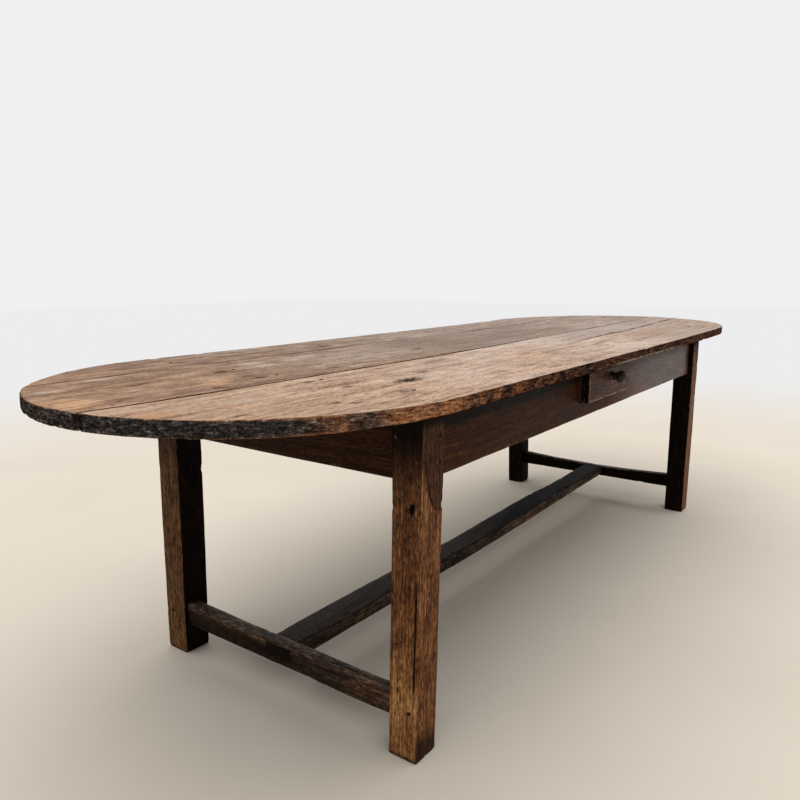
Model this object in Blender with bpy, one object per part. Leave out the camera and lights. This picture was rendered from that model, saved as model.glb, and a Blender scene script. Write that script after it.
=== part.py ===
# Communal farmhouse table: plank top with half-round ends, pegged leg frame, H stretcher and one drawer.
# Metres, +Z up. X runs along the table, -Y is the drawer side, and the floor is at Z = 0.
# The origin lies on the floor under the middle of the top. Left is -X, front is -Y.

import math

import bmesh
import bpy
from mathutils import Matrix, Vector

# Fits
CLEARANCE = 0.0003           # gap left between pieces that touch
OVERLAP = 0.004              # how far a joined-on part, such as a tenon, reaches into its own piece
PASS_THROUGH = 0.006         # how far a cutter runs past the face that it opens
SMOOTH_ANGLE = math.radians(35)  # edges flatter than this are shaded smooth

# Top
TABLE_HEIGHT = 0.750
TOP_LENGTH = 2.840
TOP_WIDTH = 0.956
TOP_THICKNESS = 0.026
FRONT_BOARD_WIDTH = 0.398
BACK_BOARD_WIDTH = 0.206     # the middle board takes what is left
SEAM_GAP = 0.0012            # the boards have shrunk apart by this much
TONGUE_THICKNESS = 0.008
TONGUE_LENGTH = 0.009
TONGUE_END_INSET = 0.002     # the tongue stops this far inside the rim
RIM_ROUNDING = 0.004
RIM_SEGMENTS = 2
END_FACETS = 44              # facets round each half-round end

# Leg frame
END_OVERHANG = 0.454         # top past the outer faces of the leg heads, at each end
SIDE_OVERHANG = 0.074
FRAME_SHIFT_X = 0.017        # the frame sits a little off the middle of the top
FRAME_SHIFT_Y = 0.005
LEG_SECTION = 0.072
FOOT_SECTION = 0.0685
LEG_SPLAY = 0.010            # feet stand out past the heads along the table
LEG_TUCK = 0.009             # and in from the heads across it
LEG_ARRIS = 0.003            # worn long edges
FOOT_WEAR = 0.004            # worn edge round the foot

# Aprons and their tenons
APRON_HEIGHT = 0.150
APRON_THICKNESS = 0.026
LONG_APRON_SETBACK = 0.015   # behind the outer faces of the legs
END_APRON_SETBACK = 0.010
TENON_THICKNESS = 0.010
TENON_TOP_SHOULDER = 0.024
TENON_BOTTOM_SHOULDER = 0.012
MORTISE_WALL = 0.003         # wood left between the two mortises that meet in a leg

# Stretchers
END_STRETCHER_THICKNESS = 0.032
END_STRETCHER_SETBACK = 0.0085
LEFT_STRETCHER_BOTTOM = 0.075
LEFT_STRETCHER_HEIGHT = 0.061
LEFT_STRETCHER_HOLLOW = 0.004   # feet have worn the upper edge hollow
RIGHT_STRETCHER_BOTTOM = 0.089
RIGHT_STRETCHER_HEIGHT = 0.055
RIGHT_STRETCHER_HOLLOW = 0.012
STRETCHER_WEAR = 0.005       # feet have also broken the two upper corners
STRETCHER_STATIONS = 12
STRETCHER_TENON_THICKNESS = 0.012
STRETCHER_TENON_SHOULDER = 0.007
STRETCHER_TENON_END = 0.009  # wood left between the tenon's end and the leg's outer face
CENTRE_STRETCHER_TOP = 0.129
CENTRE_STRETCHER_WIDTH = 0.088
CENTRE_STRETCHER_THICKNESS = 0.036
CENTRE_TENON_WIDTH = 0.082
CENTRE_TENON_THICKNESS = 0.026
HEWN_WANDER = 0.0027         # the hewn edges of the centre stretcher wander this far
HEWN_LENGTH = 0.620          # and swing out and back over this length
HEWN_LAG = 1.3               # the two edges swing out of step by this angle
HEWN_RIPPLE = 0.0013         # a smaller ripple rides on the swing
HEWN_RIPPLE_LENGTH = 0.230
HEWN_ARRIS = 0.004
HEWN_STATIONS = 36

# Pegs
PEG_DIAMETER = 0.009
PEG_SIDES = 8
PEG_PROUD = 0.0006           # frame pegs stand this far out of the wood
PEG_CHAMFER = 0.001
PEG_INSET = 0.011            # apron pegs, from the leg's inner edge
PEG_BITE = 0.012             # apron pegs run this far on past the tenon
PEG_LOW = 0.033              # apron pegs, above the apron's lower edge
PEG_HIGH = 0.087
STRETCHER_PEG_INSET = 0.020  # from the leg's outer face
TOP_PEG_DIAMETER = 0.010
TOP_PEG_BITE = 0.016         # into the apron or the leg under the top
TOP_PEG_SUNK = 0.0005        # top pegs lie this far below the worn surface
FRONT_PEG_FROM_SEAM = 0.050  # top pegs beside the front seam, on the front board
MIDDLE_PEG_FROM_SEAM = 0.080  # and on the middle board
BACK_PEG_FROM_SEAM = 0.130   # top peg beside the back seam, on the middle board

# Drawer
DRAWER_OFFSET = -0.044       # middle of the drawer, from the middle of the frame
DRAWER_PULLED = 0.029        # it stands this far open
DRAWER_WIDTH = 0.310
DRAWER_HEIGHT = 0.1045
DRAWER_DEPTH = 0.460         # behind the drawer front
DRAWER_TOP_GAP = 0.002
DRAWER_SIDE_GAP = 0.0015
DRAWER_FRONT_THICKNESS = 0.020
DRAWER_FRONT_ARRIS = 0.002
DRAWER_SIDE_THICKNESS = 0.012
DRAWER_SIDE_HEIGHT = 0.092
DRAWER_BACK_THICKNESS = 0.012
DRAWER_BACK_DROP = 0.006     # below the upper edges of the sides
DRAWER_BACK_INSET = 0.010    # from the rear ends of the sides
HOUSING_DEPTH = 0.004
DRAWER_BOTTOM_THICKNESS = 0.007
DRAWER_BOTTOM_LIFT = 0.008   # above the lower edges of the sides
GROOVE_DEPTH = 0.005
TAIL_COUNT = 2
TAIL_LENGTH = 0.013
TAIL_WIDTH = 0.026
TAIL_FLARE = 0.003
KNOB_DROP = 0.047            # knob's axis below the upper edge of the drawer front
KNOB_SHANK_DIAMETER = 0.010
KNOB_COLLAR_DIAMETER = 0.026
KNOB_COLLAR_LENGTH = 0.007
KNOB_NECK_DIAMETER = 0.015
KNOB_NECK_LENGTH = 0.020
KNOB_HEAD_DIAMETER = 0.032
KNOB_HEAD_LENGTH = 0.017
KNOB_FACETS = 24
KNOB_HEAD_STEPS = 9
KNOB_HEAD_STOP = math.radians(72)  # the turned curve ends here, at a small flat

# Drawer runners
RUNNER_HEIGHT = 0.022
RUNNER_LAP = 0.018           # how far the runner reaches under the drawer
RUNNER_STUB = 0.008          # stub tenons into the long aprons
RUNNER_STUB_SHOULDER = 0.003
GUIDE_GAP = 0.001
GUIDE_THICKNESS = 0.012
GUIDE_HEIGHT = 0.030
STOP_GAP = 0.0005
STOP_LENGTH = 0.030
STOP_HEIGHT = 0.015

# Places worked out from the sizes above
FRAME_LENGTH = TOP_LENGTH - 2 * END_OVERHANG
FRAME_WIDTH = TOP_WIDTH - 2 * SIDE_OVERHANG
TOP_UNDERSIDE = TABLE_HEIGHT - TOP_THICKNESS
FRAME_TOP = TOP_UNDERSIDE - CLEARANCE
APRON_BOTTOM = FRAME_TOP - APRON_HEIGHT
TENON_LOW = APRON_BOTTOM + TENON_BOTTOM_SHOULDER
TENON_HIGH = FRAME_TOP - TENON_TOP_SHOULDER
FRONT_SEAM = -TOP_WIDTH / 2 + FRONT_BOARD_WIDTH
BACK_SEAM = TOP_WIDTH / 2 - BACK_BOARD_WIDTH
LONG_APRON_FACE = FRAME_WIDTH / 2 - LONG_APRON_SETBACK
LONG_APRON_BACK = LONG_APRON_FACE - APRON_THICKNESS
END_APRON_FACE = FRAME_LENGTH / 2 - END_APRON_SETBACK
END_APRON_BACK = END_APRON_FACE - APRON_THICKNESS
TENON_SIDE = (APRON_THICKNESS - TENON_THICKNESS) / 2
LONG_TENON_FROM_FACE = LONG_APRON_SETBACK + TENON_SIDE
END_TENON_FROM_FACE = END_APRON_SETBACK + TENON_SIDE
LONG_TENON_LENGTH = LEG_SECTION - END_TENON_FROM_FACE - TENON_THICKNESS - MORTISE_WALL
END_TENON_LENGTH = LEG_SECTION - LONG_TENON_FROM_FACE - TENON_THICKNESS - MORTISE_WALL
NOTCH_SILL = FRAME_TOP - DRAWER_HEIGHT - DRAWER_TOP_GAP
DRAWER_LOW = NOTCH_SILL + CLEARANCE
DRAWER_HALF = DRAWER_WIDTH / 2
DRAWER_X = FRAME_SHIFT_X + DRAWER_OFFSET
DRAWER_FACE = FRAME_SHIFT_Y - LONG_APRON_FACE - DRAWER_PULLED
DRAWER_FRONT_BACK = DRAWER_FACE + DRAWER_FRONT_THICKNESS
DRAWER_REAR = DRAWER_FRONT_BACK + DRAWER_DEPTH
DRAWER_BOTTOM_LOW = DRAWER_LOW + DRAWER_BOTTOM_LIFT
DRAWER_BOTTOM_HIGH = DRAWER_BOTTOM_LOW + DRAWER_BOTTOM_THICKNESS
KNOB_HEIGHT = DRAWER_LOW + DRAWER_HEIGHT - KNOB_DROP

# Woods, as linear colours with a roughness
WOODS = {
    "top_wood": ((0.300, 0.185, 0.120), 0.60),
    "leg_wood": ((0.075, 0.036, 0.020), 0.65),
    "apron_wood": ((0.040, 0.020, 0.014), 0.62),
    "stretcher_wood": ((0.028, 0.020, 0.014), 0.70),
    "drawer_front_wood": ((0.048, 0.022, 0.014), 0.60),
    "drawer_box_wood": ((0.200, 0.125, 0.070), 0.75),
    "knob_wood": ((0.016, 0.011, 0.008), 0.45),
    "peg_wood": ((0.024, 0.014, 0.009), 0.70),
}


# Modelling helpers

def clear_scene():
    for old in list(bpy.data.objects):
        bpy.data.objects.remove(old)


def loft(rings):
    # Closed skin through a row of rings that have the same number of points
    bm = bmesh.new()
    loops = [[bm.verts.new(point) for point in ring] for ring in rings]
    for lower, upper in zip(loops, loops[1:]):
        for i in range(len(lower)):
            j = (i + 1) % len(lower)
            bm.faces.new((lower[i], lower[j], upper[j], upper[i]))
    bm.faces.new(list(reversed(loops[0])))
    bm.faces.new(loops[-1])
    return bm


def box(low, high):
    corners = ((low[0], low[1]), (high[0], low[1]), (high[0], high[1]), (low[0], high[1]))
    return loft([[(x, y, z) for x, y in corners] for z in (low[2], high[2])])


def sorted_box(corner, opposite):
    low = [min(pair) for pair in zip(corner, opposite)]
    high = [max(pair) for pair in zip(corner, opposite)]
    return box(low, high)


def grown_box(corner, opposite, growth):
    low = [min(pair) - growth for pair in zip(corner, opposite)]
    high = [max(pair) + growth for pair in zip(corner, opposite)]
    return box(low, high)


def peg_solid(diameter, length, chamfer):
    # Whittled peg along +Z from the origin, both ends chamfered
    def ring(radius, z):
        angles = [math.tau * (i + 0.5) / PEG_SIDES for i in range(PEG_SIDES)]
        return [(radius * math.cos(a), radius * math.sin(a), z) for a in angles]
    radius = diameter / 2
    if not chamfer:
        return loft([ring(radius, 0), ring(radius, length)])
    tip = radius - chamfer
    return loft([ring(tip, 0), ring(radius, chamfer), ring(radius, length - chamfer), ring(tip, length)])


def solid(name, bm):
    bmesh.ops.recalc_face_normals(bm, faces=bm.faces[:])
    mesh = bpy.data.meshes.new(name)
    bm.to_mesh(mesh)
    bm.free()
    piece = bpy.data.objects.new(name, mesh)
    bpy.context.scene.collection.objects.link(piece)
    return piece


def combine(piece, bm, operation):
    # Cuts a tool solid out of the piece, or joins it on, and keeps the result as the piece's mesh
    tool = solid("tool", bm)
    modifier = piece.modifiers.new("tool", 'BOOLEAN')
    modifier.object = tool
    modifier.operation = operation
    modifier.solver = 'EXACT'
    graph = bpy.context.evaluated_depsgraph_get()
    result = bpy.data.meshes.new_from_object(piece.evaluated_get(graph))
    piece.modifiers.remove(modifier)
    bpy.data.objects.remove(tool)
    piece.data = result
    result.name = piece.name


def cut(piece, bm):
    combine(piece, bm, 'DIFFERENCE')


def join(piece, bm):
    combine(piece, bm, 'UNION')


def place(piece, wood, origin, parent):
    # Gives the piece its wood and its own origin, and hangs it on its assembly's empty
    origin = Vector(origin)
    piece.data.transform(Matrix.Translation(-origin))
    piece.data.materials.clear()
    piece.data.materials.append(bpy.data.materials[wood])
    piece.parent = parent
    piece.location = origin - parent.location


def make_woods():
    for name, (colour, roughness) in WOODS.items():
        wood = bpy.data.materials.new(name)
        wood.use_nodes = True
        shader = wood.node_tree.nodes["Principled BSDF"]
        shader.inputs["Base Color"].default_value = (*colour, 1.0)
        shader.inputs["Roughness"].default_value = roughness
        shader.inputs["Metallic"].default_value = 0.0


def make_empty(name, location):
    empty = bpy.data.objects.new(name, None)
    empty.location = location
    bpy.context.scene.collection.objects.link(empty)
    return empty


# Places in the leg frame, which is a little off the middle of the top

def frame_point(x, y, z):
    return Vector((x + FRAME_SHIFT_X, y + FRAME_SHIFT_Y, z))


def leg_faces(z):
    # A leg's outer and inner faces at a height, as distances from the frame's middle: along, then across
    drop = max(0.0, (APRON_BOTTOM - z) / APRON_BOTTOM)
    section = LEG_SECTION + (FOOT_SECTION - LEG_SECTION) * drop
    outer_x = FRAME_LENGTH / 2 + LEG_SPLAY * drop
    outer_y = FRAME_WIDTH / 2 - LEG_TUCK * drop
    return outer_x, outer_x - section, outer_y, outer_y - section


LEGS = {
    "front_left": (-1, -1),
    "back_left": (-1, 1),
    "front_right": (1, -1),
    "back_right": (1, 1),
}
ENDS = {"left": -1, "right": 1}
LONG_SIDES = {"front": -1, "back": 1}


# Pegs: each is a place, a direction, a length and the pieces that it goes through

def aim(direction):
    return Vector((0, 0, 1)).rotation_difference(Vector(direction)).to_euler()


def peg_hole(head, direction, length, diameter):
    bm = peg_solid(diameter + 2 * CLEARANCE, length + CLEARANCE + PASS_THROUGH, 0)
    turn = aim(direction).to_matrix().to_4x4()
    start = Vector(head) - Vector(direction) * PASS_THROUGH
    bm.transform(Matrix.Translation(start) @ turn)
    return bm


def drive_peg(name, head, direction, length, diameter, proud, pieces, parent):
    for piece in pieces:
        cut(piece, peg_hole(head, direction, length, diameter))
    peg = solid(name, peg_solid(diameter, length + proud, PEG_CHAMFER))
    place(peg, "peg_wood", (0, 0, 0), parent)
    peg.location = Vector(head) - Vector(direction) * proud - parent.location
    peg.rotation_euler = aim(direction)


# Top boards

def board_outline(y_low, y_high, rim_inset):
    # The part of the top's outline between two lines along the table
    radius = TOP_WIDTH / 2 - rim_inset
    centre = (TOP_LENGTH - TOP_WIDTH) / 2
    start = math.asin(max(-1.0, y_low / radius))
    stop = math.asin(min(1.0, y_high / radius))
    count = max(2, round(END_FACETS * (stop - start) / math.pi))
    angles = [start + (stop - start) * i / count for i in range(count + 1)]
    right_end = [(centre + radius * math.cos(a), radius * math.sin(a)) for a in angles]
    left_end = [(-x, y) for x, y in reversed(right_end)]
    return right_end + left_end


def slab(outline, z_low, z_high):
    return loft([[(x, y, z) for x, y in outline] for z in (z_low, z_high)])


def make_board(name, y_low, y_high, seams):
    # A board with its rim rounded, and its seam edges left square
    bm = slab(board_outline(y_low, y_high, 0), TOP_UNDERSIDE, TABLE_HEIGHT)

    def on_rim(edge):
        first, second = (vert.co for vert in edge.verts)
        level = abs(first.z - second.z) < CLEARANCE
        on_seam = any(abs(first.y - seam) + abs(second.y - seam) < CLEARANCE for seam in seams)
        return level and not on_seam
    rim = [edge for edge in bm.edges if on_rim(edge)]
    bmesh.ops.bevel(bm, geom=rim, offset=RIM_ROUNDING, segments=RIM_SEGMENTS, profile=0.5, affect='EDGES')
    return solid(name, bm)


def seam_slab(seam_low, seam_high, rim_inset, growth):
    middle = (TABLE_HEIGHT + TOP_UNDERSIDE) / 2
    half = TONGUE_THICKNESS / 2 + growth
    return slab(board_outline(seam_low, seam_high, rim_inset), middle - half, middle + half)


def make_top():
    rim = TOP_WIDTH / 2
    front_edge = FRONT_SEAM - SEAM_GAP / 2
    middle_low = FRONT_SEAM + SEAM_GAP / 2
    middle_high = BACK_SEAM - SEAM_GAP / 2
    back_edge = BACK_SEAM + SEAM_GAP / 2
    front = make_board("top_board_front", -rim, front_edge, [front_edge])
    middle = make_board("top_board_middle", middle_low, middle_high, [middle_low, middle_high])
    back = make_board("top_board_back", back_edge, rim, [back_edge])
    tongue_front = middle_low - TONGUE_LENGTH
    tongue_back = middle_high + TONGUE_LENGTH
    join(middle, seam_slab(tongue_front, middle_low + OVERLAP, TONGUE_END_INSET, 0))
    join(middle, seam_slab(middle_high - OVERLAP, tongue_back, TONGUE_END_INSET, 0))
    cut(front, seam_slab(tongue_front - CLEARANCE, middle_low, -PASS_THROUGH, CLEARANCE))
    cut(back, seam_slab(middle_high, tongue_back + CLEARANCE, -PASS_THROUGH, CLEARANCE))
    return {"front": front, "middle": middle, "back": back}


# Legs

def leg_ring(side_x, side_y, z, wear):
    outer_x, inner_x, outer_y, inner_y = leg_faces(z)
    x_low, x_high = sorted((side_x * (outer_x - wear), side_x * (inner_x + wear)))
    y_low, y_high = sorted((side_y * (outer_y - wear), side_y * (inner_y + wear)))
    arris = LEG_ARRIS
    corners = [
        (x_low + arris, y_low), (x_high - arris, y_low), (x_high, y_low + arris), (x_high, y_high - arris),
        (x_high - arris, y_high), (x_low + arris, y_high), (x_low, y_high - arris), (x_low, y_low + arris),
    ]
    return [frame_point(x, y, z) for x, y in corners]


def make_leg(name, side_x, side_y):
    heights = ((0.0, FOOT_WEAR), (FOOT_WEAR, 0.0), (APRON_BOTTOM, 0.0), (FRAME_TOP, 0.0))
    return solid("leg_" + name, loft([leg_ring(side_x, side_y, z, wear) for z, wear in heights]))


# Aprons

def make_long_apron(name, side_y, legs):
    shoulder = FRAME_LENGTH / 2 - LEG_SECTION - CLEARANCE
    face, back = side_y * LONG_APRON_FACE, side_y * LONG_APRON_BACK
    low = frame_point(-shoulder, face, APRON_BOTTOM)
    high = frame_point(shoulder, back, FRAME_TOP)
    apron = solid("apron_" + name, sorted_box(low, high))
    tenon_face = face - side_y * TENON_SIDE
    tenon_back = tenon_face - side_y * TENON_THICKNESS
    for end, side_x in ENDS.items():
        root = side_x * (shoulder - OVERLAP)
        tip = side_x * (FRAME_LENGTH / 2 - LEG_SECTION + LONG_TENON_LENGTH)
        corner = frame_point(root, tenon_face, TENON_LOW)
        opposite = frame_point(tip, tenon_back, TENON_HIGH)
        join(apron, sorted_box(corner, opposite))
        cut(legs[name + "_" + end], grown_box(corner, opposite, CLEARANCE))
    return apron


def make_end_apron(name, side_x, legs):
    shoulder = FRAME_WIDTH / 2 - LEG_SECTION - CLEARANCE
    face, back = side_x * END_APRON_FACE, side_x * END_APRON_BACK
    low = frame_point(face, -shoulder, APRON_BOTTOM)
    high = frame_point(back, shoulder, FRAME_TOP)
    apron = solid("apron_%s_end" % name, sorted_box(low, high))
    tenon_face = face - side_x * TENON_SIDE
    tenon_back = tenon_face - side_x * TENON_THICKNESS
    for side, side_y in LONG_SIDES.items():
        root = side_y * (shoulder - OVERLAP)
        tip = side_y * (FRAME_WIDTH / 2 - LEG_SECTION + END_TENON_LENGTH)
        corner = frame_point(tenon_face, root, TENON_LOW)
        opposite = frame_point(tenon_back, tip, TENON_HIGH)
        join(apron, sorted_box(corner, opposite))
        cut(legs[side + "_" + name], grown_box(corner, opposite, CLEARANCE))
    return apron


def drive_apron_pegs(legs, long_aprons, end_aprons, parent):
    edge = LEG_SECTION - PEG_INSET
    long_length = LONG_TENON_FROM_FACE + TENON_THICKNESS + PEG_BITE
    end_length = END_TENON_FROM_FACE + TENON_THICKNESS + PEG_BITE
    for name, (side_x, side_y) in LEGS.items():
        side, end = name.split("_")
        for level, lift in (("low", PEG_LOW), ("high", PEG_HIGH)):
            z = APRON_BOTTOM + lift
            head = frame_point(side_x * (FRAME_LENGTH / 2 - edge), side_y * FRAME_WIDTH / 2, z)
            pieces = (legs[name], long_aprons[side])
            title = "peg_%s_long_%s" % (name, level)
            drive_peg(title, head, (0, -side_y, 0), long_length, PEG_DIAMETER, PEG_PROUD, pieces, parent)
            head = frame_point(side_x * FRAME_LENGTH / 2, side_y * (FRAME_WIDTH / 2 - edge), z)
            pieces = (legs[name], end_aprons[end])
            title = "peg_%s_end_%s" % (name, level)
            drive_peg(title, head, (-side_x, 0, 0), end_length, PEG_DIAMETER, PEG_PROUD, pieces, parent)


# Stretchers

def make_end_stretcher(name, side_x, bottom, height, hollow, legs, parent):
    # A rail between the two legs of one end, its upper edge worn, its shoulders along the tapered legs
    middle = bottom + height / 2
    face = side_x * (leg_faces(middle)[0] - END_STRETCHER_SETBACK)
    back = face - side_x * END_STRETCHER_THICKNESS
    wear = side_x * STRETCHER_WEAR
    rings = []
    for i in range(STRETCHER_STATIONS + 1):
        along = 2 * i / STRETCHER_STATIONS - 1
        top = bottom + height - hollow * (1 - along * along)
        corner = top - STRETCHER_WEAR
        section = (
            (face, bottom), (back, bottom), (back, corner),
            (back + wear, top), (face - wear, top), (face, corner),
        )
        rings.append([frame_point(x, along * (leg_faces(z)[3] - CLEARANCE), z) for x, z in section])
    stretcher = solid("stretcher_%s_end" % name, loft(rings))
    tenon_face = face - side_x * (END_STRETCHER_THICKNESS - STRETCHER_TENON_THICKNESS) / 2
    tenon_back = tenon_face - side_x * STRETCHER_TENON_THICKNESS
    outer_x, inner_x, outer_y, inner_y = leg_faces(middle)
    for side, side_y in LONG_SIDES.items():
        leg = legs[side + "_" + name]
        root = side_y * (inner_y - OVERLAP)
        tip = side_y * (outer_y - STRETCHER_TENON_END)
        corner = frame_point(tenon_face, root, bottom + STRETCHER_TENON_SHOULDER)
        opposite = frame_point(tenon_back, tip, bottom + height - STRETCHER_TENON_SHOULDER)
        join(stretcher, sorted_box(corner, opposite))
        cut(leg, grown_box(corner, opposite, CLEARANCE))
        head = frame_point(side_x * outer_x, side_y * (outer_y - STRETCHER_PEG_INSET), middle)
        title = "peg_%s_%s_stretcher" % (side, name)
        length = outer_x - inner_x + PEG_PROUD
        drive_peg(title, head, (-side_x, 0, 0), length, PEG_DIAMETER, PEG_PROUD, (leg, stretcher), parent)
    place(stretcher, "stretcher_wood", frame_point(face, 0, bottom), parent)
    return stretcher, face, back


def hewn_half_width(x, edge):
    # Each hewn edge of the centre stretcher swings out and in along the board in its own way
    swing = HEWN_WANDER * math.sin(math.tau * x / HEWN_LENGTH + HEWN_LAG * edge)
    ripple = HEWN_RIPPLE * math.sin(math.tau * x / HEWN_RIPPLE_LENGTH)
    return CENTRE_STRETCHER_WIDTH / 2 + swing + ripple


def make_centre_stretcher(left, right, parent):
    # A flat hewn board whose tenons run right through the two end stretchers
    left_back, right_back = left[2], right[2]
    bottom = CENTRE_STRETCHER_TOP - CENTRE_STRETCHER_THICKNESS
    top = CENTRE_STRETCHER_TOP
    arris = HEWN_ARRIS
    start = left_back + CLEARANCE
    stop = right_back - CLEARANCE
    rings = []
    for i in range(HEWN_STATIONS + 1):
        x = start + (stop - start) * i / HEWN_STATIONS
        front, back = -hewn_half_width(x, -1), hewn_half_width(x, 1)
        section = (
            (front + arris, bottom), (back - arris, bottom), (back, bottom + arris), (back, top - arris),
            (back - arris, top), (front + arris, top), (front, top - arris), (front, bottom + arris),
        )
        rings.append([frame_point(x, y, z) for y, z in section])
    stretcher = solid("stretcher_centre", loft(rings))
    tenon_half = CENTRE_TENON_WIDTH / 2
    tenon_low = bottom + (CENTRE_STRETCHER_THICKNESS - CENTRE_TENON_THICKNESS) / 2
    tenon_high = tenon_low + CENTRE_TENON_THICKNESS
    for piece, face, back in (left, right):
        side_x = math.copysign(1, face)
        root = frame_point(back - side_x * OVERLAP, -tenon_half, tenon_low)
        tip = frame_point(face, tenon_half, tenon_high)
        join(stretcher, sorted_box(root, tip))
        beyond = tip + Vector((side_x * PASS_THROUGH, 0, 0))
        cut(piece, grown_box(root, beyond, CLEARANCE))
    place(stretcher, "stretcher_wood", frame_point(0, 0, CENTRE_STRETCHER_TOP), parent)


# Top pegs, in a row over each end apron

def drive_top_pegs(boards, legs, end_aprons, parent):
    leg_middle = FRAME_WIDTH / 2 - LEG_SECTION / 2
    length = TOP_THICKNESS + CLEARANCE + TOP_PEG_BITE
    for end, side_x in ENDS.items():
        apron = end_aprons[end]
        spots = (
            (FRAME_SHIFT_Y - leg_middle, boards["front"], legs["front_" + end]),
            (FRONT_SEAM - FRONT_PEG_FROM_SEAM, boards["front"], apron),
            (FRONT_SEAM + MIDDLE_PEG_FROM_SEAM, boards["middle"], apron),
            (BACK_SEAM - BACK_PEG_FROM_SEAM, boards["middle"], apron),
            (FRAME_SHIFT_Y + leg_middle, boards["back"], legs["back_" + end]),
        )
        x = FRAME_SHIFT_X + side_x * (END_APRON_FACE + END_APRON_BACK) / 2
        for number, (y, board, under) in enumerate(spots, 1):
            title = "top_peg_%s_%d" % (end, number)
            head = (x, y, TABLE_HEIGHT)
            pieces = (board, under)
            drive_peg(title, head, (0, 0, -1), length, TOP_PEG_DIAMETER, -TOP_PEG_SUNK, pieces, parent)


# Drawer housing in the frame

def cut_drawer_notch(front_apron):
    half = DRAWER_HALF + DRAWER_SIDE_GAP
    front = FRAME_SHIFT_Y - LONG_APRON_FACE
    low = (DRAWER_X - half, front - PASS_THROUGH, NOTCH_SILL)
    high = (DRAWER_X + half, front + APRON_THICKNESS + PASS_THROUGH, FRAME_TOP + PASS_THROUGH)
    cut(front_apron, box(low, high))


def make_runner(name, side, long_aprons, parent):
    # A bearer under one side of the drawer, with its guide strip and its stop block
    inner = DRAWER_X + side * (DRAWER_HALF - RUNNER_LAP)
    guide_inner = DRAWER_X + side * (DRAWER_HALF + GUIDE_GAP)
    guide_outer = guide_inner + side * GUIDE_THICKNESS
    front = FRAME_SHIFT_Y - LONG_APRON_BACK + CLEARANCE
    back = FRAME_SHIFT_Y + LONG_APRON_BACK - CLEARANCE
    bottom = NOTCH_SILL - RUNNER_HEIGHT
    runner_low = (inner, front, bottom)
    runner_high = (guide_outer, back, NOTCH_SILL)
    runner = solid("drawer_runner_" + name, sorted_box(runner_low, runner_high))
    stub_inner = inner + side * RUNNER_STUB_SHOULDER
    stub_outer = guide_outer - side * RUNNER_STUB_SHOULDER
    stub_low = bottom + RUNNER_STUB_SHOULDER
    stub_high = NOTCH_SILL - RUNNER_STUB_SHOULDER
    for apron, root, way in ((long_aprons["front"], front, -1), (long_aprons["back"], back, 1)):
        corner = (stub_inner, root - way * OVERLAP, stub_low)
        opposite = (stub_outer, root + way * RUNNER_STUB, stub_high)
        join(runner, sorted_box(corner, opposite))
        cut(apron, grown_box(corner, opposite, CLEARANCE))
    rest = NOTCH_SILL + CLEARANCE
    guide_low = (guide_inner, front, rest)
    guide_high = (guide_outer, back, rest + GUIDE_HEIGHT)
    guide = solid("drawer_guide_" + name, sorted_box(guide_low, guide_high))
    closed_rear = DRAWER_REAR + DRAWER_PULLED
    stop_low = (DRAWER_X + side * (DRAWER_HALF - DRAWER_SIDE_THICKNESS), closed_rear + STOP_GAP, rest)
    stop_high = (DRAWER_X + side * DRAWER_HALF, closed_rear + STOP_GAP + STOP_LENGTH, rest + STOP_HEIGHT)
    stop = solid("drawer_stop_" + name, sorted_box(stop_low, stop_high))
    for piece in (runner, guide, stop):
        place(piece, "drawer_box_wood", ((inner + guide_outer) / 2, front, NOTCH_SILL), parent)


# Drawer

def tail_middles():
    pitch = DRAWER_SIDE_HEIGHT / TAIL_COUNT
    return [DRAWER_LOW + pitch * (i + 0.5) for i in range(TAIL_COUNT)]


def tail_half_width(y):
    # Tails are widest at their tips, inside the drawer front
    from_tip = (y - (DRAWER_FRONT_BACK - TAIL_LENGTH)) / TAIL_LENGTH
    return TAIL_WIDTH / 2 - TAIL_FLARE * from_tip


def side_prism(outline, x, other_x):
    low, high = sorted((x, other_x))
    return loft([[(place_x, y, z) for y, z in outline] for place_x in (low, high)])


def make_drawer_side(name, side):
    outer = DRAWER_X + side * DRAWER_HALF
    inner = outer - side * DRAWER_SIDE_THICKNESS
    top = DRAWER_LOW + DRAWER_SIDE_HEIGHT
    root = DRAWER_FRONT_BACK + CLEARANCE
    tip = DRAWER_FRONT_BACK - TAIL_LENGTH
    outline = [(root, DRAWER_LOW), (DRAWER_REAR, DRAWER_LOW), (DRAWER_REAR, top), (root, top)]
    for middle in reversed(tail_middles()):
        outline += [(root, middle + tail_half_width(root)), (tip, middle + tail_half_width(tip))]
        outline += [(tip, middle - tail_half_width(tip)), (root, middle - tail_half_width(root))]
    piece = solid("drawer_side_" + name, side_prism(outline, inner, outer))
    groove_low = (inner - side * PASS_THROUGH, tip - PASS_THROUGH, DRAWER_BOTTOM_LOW - CLEARANCE)
    groove_high = (inner + side * GROOVE_DEPTH, DRAWER_REAR + PASS_THROUGH, DRAWER_BOTTOM_HIGH + CLEARANCE)
    cut(piece, sorted_box(groove_low, groove_high))
    return piece


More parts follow.
